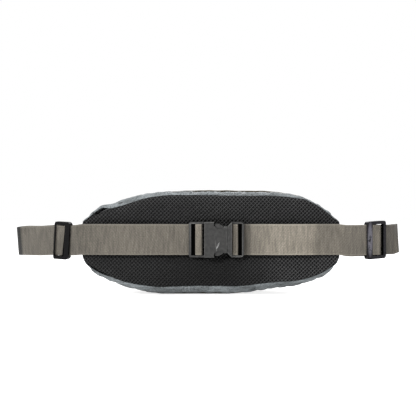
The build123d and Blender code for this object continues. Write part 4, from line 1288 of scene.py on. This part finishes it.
print("moulded pieces:", len(hardware))


# %% [markdown]
# A tri-glide's slots are wider than the webbing is thick, so a dark gap is left beside its
# bars. A thin black plate in the window, which moves with its tri-glide, is painted shade that
# keeps that gap dark.

# %% Painted shade in the tri-glides' gaps
def slot_shade(name, side, body, near_x, far_x, wider_below=0.0):
    select_only()
    bpy.ops.mesh.primitive_cube_add(size=1)
    shade = bpy.context.object
    shade.name = shade.data.name = name
    bpy.ops.object.mode_set(mode="EDIT")
    bpy.ops.transform.resize(value=(1, 1, 0.9))
    bpy.ops.mesh.bevel(offset=0.1, segments=2, affect="EDGES")
    bpy.ops.object.mode_set(mode="OBJECT")
    depth = -WEBBING_THICK / 2 - CLEARANCE - BAR_THICK / 2
    points = points_of(shade)
    for i, (u, v, w) in enumerate(points):
        flat_x = (near_x + far_x) / 2 + u * (far_x - near_x)
        if u > 0:
            flat_x += wider_below * (0.5 - w)
        x, y = swept((flat_x - BEND_X) / math.cos(SWEEP), depth + v * 0.8)
        x, z = lean(side, x, BELT_HEIGHT + w * 46.6)
        x, y, z = hang(side, x, y, z)
        points[i] = placed(side * x, y, z)
    set_points(shade, points)
    smooth(shade, 40)
    # Black plate: painted shade in the tri-glide's slot.
    shade.data.materials.append(shade_black)
    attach(shade, body)


slot_shade("left_glide_gap_shade", -1, "left_triglide", 188.6, 189.9, wider_below=2.4)
slot_shade("right_glide_gap_shade", 1, "right_triglide", 224.0, 225.45)

# %% [markdown]
# Beside each web bar a sunk black plate stands in the slot as painted shade. It is a thin
# bevelled plate between the outer bar and the webbing.

# %% Painted shade beside the web bars
FRAME_FRONT = -6.3


def web_shade(name, body, low_x, high_x, half_height):
    select_only()
    bpy.ops.mesh.primitive_cube_add(size=1)
    shade_plate = bpy.context.object
    shade_plate.name = shade_plate.data.name = name
    size = ((high_x - low_x) * MM, 1.1 * MM, 2 * half_height * MM)
    centre = placed((low_x + high_x) / 2, FRAME_FRONT + 1.65, BELT_HEIGHT)
    bpy.ops.object.mode_set(mode="EDIT")
    bpy.ops.transform.resize(value=size)
    bpy.ops.transform.translate(value=centre)
    bpy.ops.mesh.bevel(offset=0.0003, segments=2, affect="EDGES")
    bpy.ops.object.mode_set(mode="OBJECT")
    smooth(shade_plate, 40)
    # Black plate: painted shade in the buckle's slot.
    shade_plate.data.materials.append(shade_black)
    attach(shade_plate, body)


web_shade("socket_web_shade", "pack", -26.0, -20.6, 20.7)
web_shade("plug_web_shade", "plug", 35.2, 40.3, 20.7)

# %% [markdown]
# ## Zips
# A coil zip is two woven tapes, each with a spiral of nylon sewn along its edge. Each turn of
# the spiral shows as one small tooth, so one tooth of a few faces is made and then repeated
# along the arc on both sides.


# %% Tapes, teeth and stops
TOOTH_PITCH = 1.3


def on_zip(zip_size, x, across, lift):
    y, z = zip_point(zip_size, x, across)
    tilt = math.radians(zip_size["tilt"])
    turn = math.asin(x / zip_size["radius"])
    out = Vector((math.sin(turn), math.sin(tilt) * math.cos(turn), math.cos(tilt) * math.cos(turn)))
    return placed(x, y, z) + out * lift * MM


def tape(name, zip_size, side):
    stations = np.linspace(-WING_SEAM, WING_SEAM, 127)
    rows = []
    for across in np.linspace(2.4, 7.6, 5):
        sink = -0.35 - 0.5 * max(0.0, across - 6.2)
        row = []
        for x in stations:
            ripple = 0.08 * fine_noise((x * MM, across * MM, 0), 12)
            row.append(on_zip(zip_size, x, side * across, sink + ripple))
        rows.append(row)
    piece = sheet(name, rows)
    point_outwards(piece, bag_centre)
    modify(piece, "SOLIDIFY", thickness=0.0006, offset=-1)
    piece.data.materials.append(zip_tape)
    return piece


def teeth(name, zip_size):
    select_only()
    bpy.ops.mesh.primitive_cube_add(size=1)
    tooth = bpy.context.object
    bpy.ops.object.mode_set(mode="EDIT")
    bpy.ops.mesh.select_all(action="SELECT")
    bpy.ops.mesh.bevel(offset=0.3, segments=1, affect="EDGES")
    bpy.ops.object.mode_set(mode="OBJECT")
    shape = points_of(tooth)
    faces = [tuple(f.vertices) for f in tooth.data.polygons]
    bpy.data.objects.remove(tooth)
    points, all_faces = [], []
    count = int(2 * zip_size["half"] / TOOTH_PITCH)
    for side in (-1, 1):
        for i in range(count):
            x = -zip_size["half"] + (i + 0.5 + (0.25 if side > 0 else -0.25)) * TOOTH_PITCH
            first = len(points)
            for px, py, pz in shape:
                points.append(on_zip(zip_size, x + px * 0.95, side * (1.62 + py * 1.75), pz * 1.9))
            all_faces += [tuple(first + v for v in face) for face in faces]
    mesh = bpy.data.meshes.new(name)
    mesh.from_pydata(points, [], all_faces)
    piece = bpy.data.objects.new(name, mesh)
    bpy.context.scene.collection.objects.link(piece)
    smooth(piece, 60)
    mesh.materials.append(coil_nylon)
    return piece


for label, zip_size in (("main_zip", MAIN_ZIP), ("pocket_zip", POCKET_ZIP)):
    tapes = join([tape(label + "_a", zip_size, 1), tape(label + "_b", zip_size, -1)], label + "_twill")
    coil = teeth(label + "_teeth", zip_size)
    for piece, cad_node, slot in ((tapes, label + "_tapes", "zip_tape"), (coil, label + "_coils", "coil")):
        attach(piece, "pack")
        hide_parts(cad_node)
    moulded_copy(label + "_end_stops", label + "_stops", black_metal, "pack", "zip_metal", 0.25)
print("teeth on each zip:", int(2 * MAIN_ZIP["half"] / TOOTH_PITCH) * 2)

# %% [markdown]
# ## Piping, seams and the inside
# The piping is a thin cord in a bias strip, caught between the gusset and its panel. It is
# never quite straight, because the layers ease differently. The divider, the foam and the
# lining are inside or behind other pieces, so their CAD nodes stay and get cloth materials.


# %% Piping
def piping(name, top, cad_node):
    stations = np.linspace(-WING_SEAM, WING_SEAM, 127)
    sunk = PIPING_RADIUS + PIPING_SINK
    rows = []
    for turn in np.linspace(0, 2 * math.pi, 11):
        row = []
        for x in stations:
            wave = 0.45 * fine_noise((x * MM, 0, 0), 17, 6.0 if top else 8.0)
            radius = PIPING_RADIUS * (1 + 0.12 * fine_noise((x * MM, 0.01, 0), 5, 2.0))
            z = crest(x) - sunk + crown(x) if top else max(belly(x) + sunk, sunk)
            y = roll_depth(x) + SEAM_GAP + PIPING_RADIUS + wave
            z += (0.6 if top else 0.0) * fine_noise((x * MM, 0.02, 0), 14, 4.0)
            row.append(placed(x, y + radius * math.cos(turn), max(z + radius * math.sin(turn), 0.05)))
        rows.append(row)
    piece = sheet(name, rows)
    select_only(piece)
    bpy.ops.object.mode_set(mode="EDIT")
    bpy.ops.mesh.select_all(action="SELECT")
    bpy.ops.mesh.remove_doubles(threshold=0.00002)
    bpy.ops.mesh.normals_make_consistent(inside=False)
    bpy.ops.object.mode_set(mode="OBJECT")
    smooth(piece, 80)
    piece.data.materials.append(piping_cord)
    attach(piece, "pack")
    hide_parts(cad_node)
    return piece


piping("top_piping_cord", True, "top_piping")
piping("bottom_piping_cord", False, "bottom_piping")


def dress(cad_node, material):
    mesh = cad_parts[cad_node].data
    mesh.materials.clear()
    mesh.materials.append(material)


for cad_node, material in (
    ("back_foam", foam_pad), ("back_lining", lining_cloth), ("pocket_divider", lining_cloth),
    ("left_side_seam", seam_binding), ("right_side_seam", seam_binding),
):
    dress(cad_node, material)
print("dressed CAD nodes: 5")

# %% [markdown]
# ## Floor, light and camera
# The pack stands on a white floor before a white backdrop, under large soft lights, as on a
# studio table. The camera looks straight at the back panel, a little above its middle.

# %% Floor and backdrop
select_only()
bpy.ops.mesh.primitive_plane_add(size=8, location=(0, 0, 0))
floor = bpy.context.object
floor.name = "floor"
white, tree, shader, place = new_material("studio_white")
tree.nodes.remove(shader)
light_path = tree.nodes.new("ShaderNodeLightPath")
paper = node(tree, "ShaderNodeBsdfDiffuse", {"Color": (0.82, 0.82, 0.82, 1)})
lift = math_node(tree, "MULTIPLY", light_path.outputs["Is Camera Ray"], 0.8)
glow = node(tree, "ShaderNodeEmission", {"Color": (1, 1, 1, 1), "Strength": lift})
both = node(tree, "ShaderNodeAddShader", {0: paper.outputs[0], 1: glow.outputs[0]})
tree.links.new(both.outputs[0], [n for n in tree.nodes if n.type == "OUTPUT_MATERIAL"][0].inputs[0])
floor.data.materials.append(white)

world = bpy.data.worlds.new("studio")
bpy.context.scene.world = world
world.use_nodes = True
tree = world.node_tree
tree.nodes.clear()
path = tree.nodes.new("ShaderNodeLightPath")
strength = spread(tree, path.outputs["Is Camera Ray"], 0, 1, 0.42, 1.0)
sky = node(tree, "ShaderNodeBackground", {"Color": (1, 1, 1, 1), "Strength": strength})
tree.links.new(sky.outputs[0], tree.nodes.new("ShaderNodeOutputWorld").inputs[0])


# %% Lights
def soft_box(name, place, target, size, power):
    data = bpy.data.lights.new(name, "AREA")
    data.shape = "RECTANGLE"
    data.size, data.size_y = size
    data.energy = power
    lamp = bpy.data.objects.new(name, data)
    bpy.context.scene.collection.objects.link(lamp)
    lamp.location = place
    lamp.rotation_euler = (Vector(target) - Vector(place)).to_track_quat("-Z", "Y").to_euler()


soft_box("key", (-1.0, -0.9, 0.75), (0, 0, 0.07), (0.35, 0.35), 15)
soft_box("fill", (0.9, -1.2, 0.4), (0, 0, 0.07), (0.8, 0.8), 4)
soft_box("top", (0.0, 0.0, 1.3), (0, 0, 0.07), (1.2, 0.6), 10)
soft_box("back", (0.3, 1.2, 0.9), (0, 0, 0.07), (1.0, 0.8), 8)

# %% Camera
belt_plane = placed(0, front_y, BELT_HEIGHT)
camera_data = bpy.data.cameras.new("camera")
camera = bpy.data.objects.new("camera", camera_data)
bpy.context.scene.collection.objects.link(camera)
camera_data.sensor_width = 36.0
view_distance, view_width = 0.750, 0.541
camera_data.lens = 36.0 * view_distance / view_width
camera.location = (-0.0039, belt_plane.y - view_distance, 0.1147)
camera.rotation_euler = (math.radians(90), 0, 0)
bpy.context.scene.camera = camera
bpy.context.scene.view_settings.view_transform = "Standard"
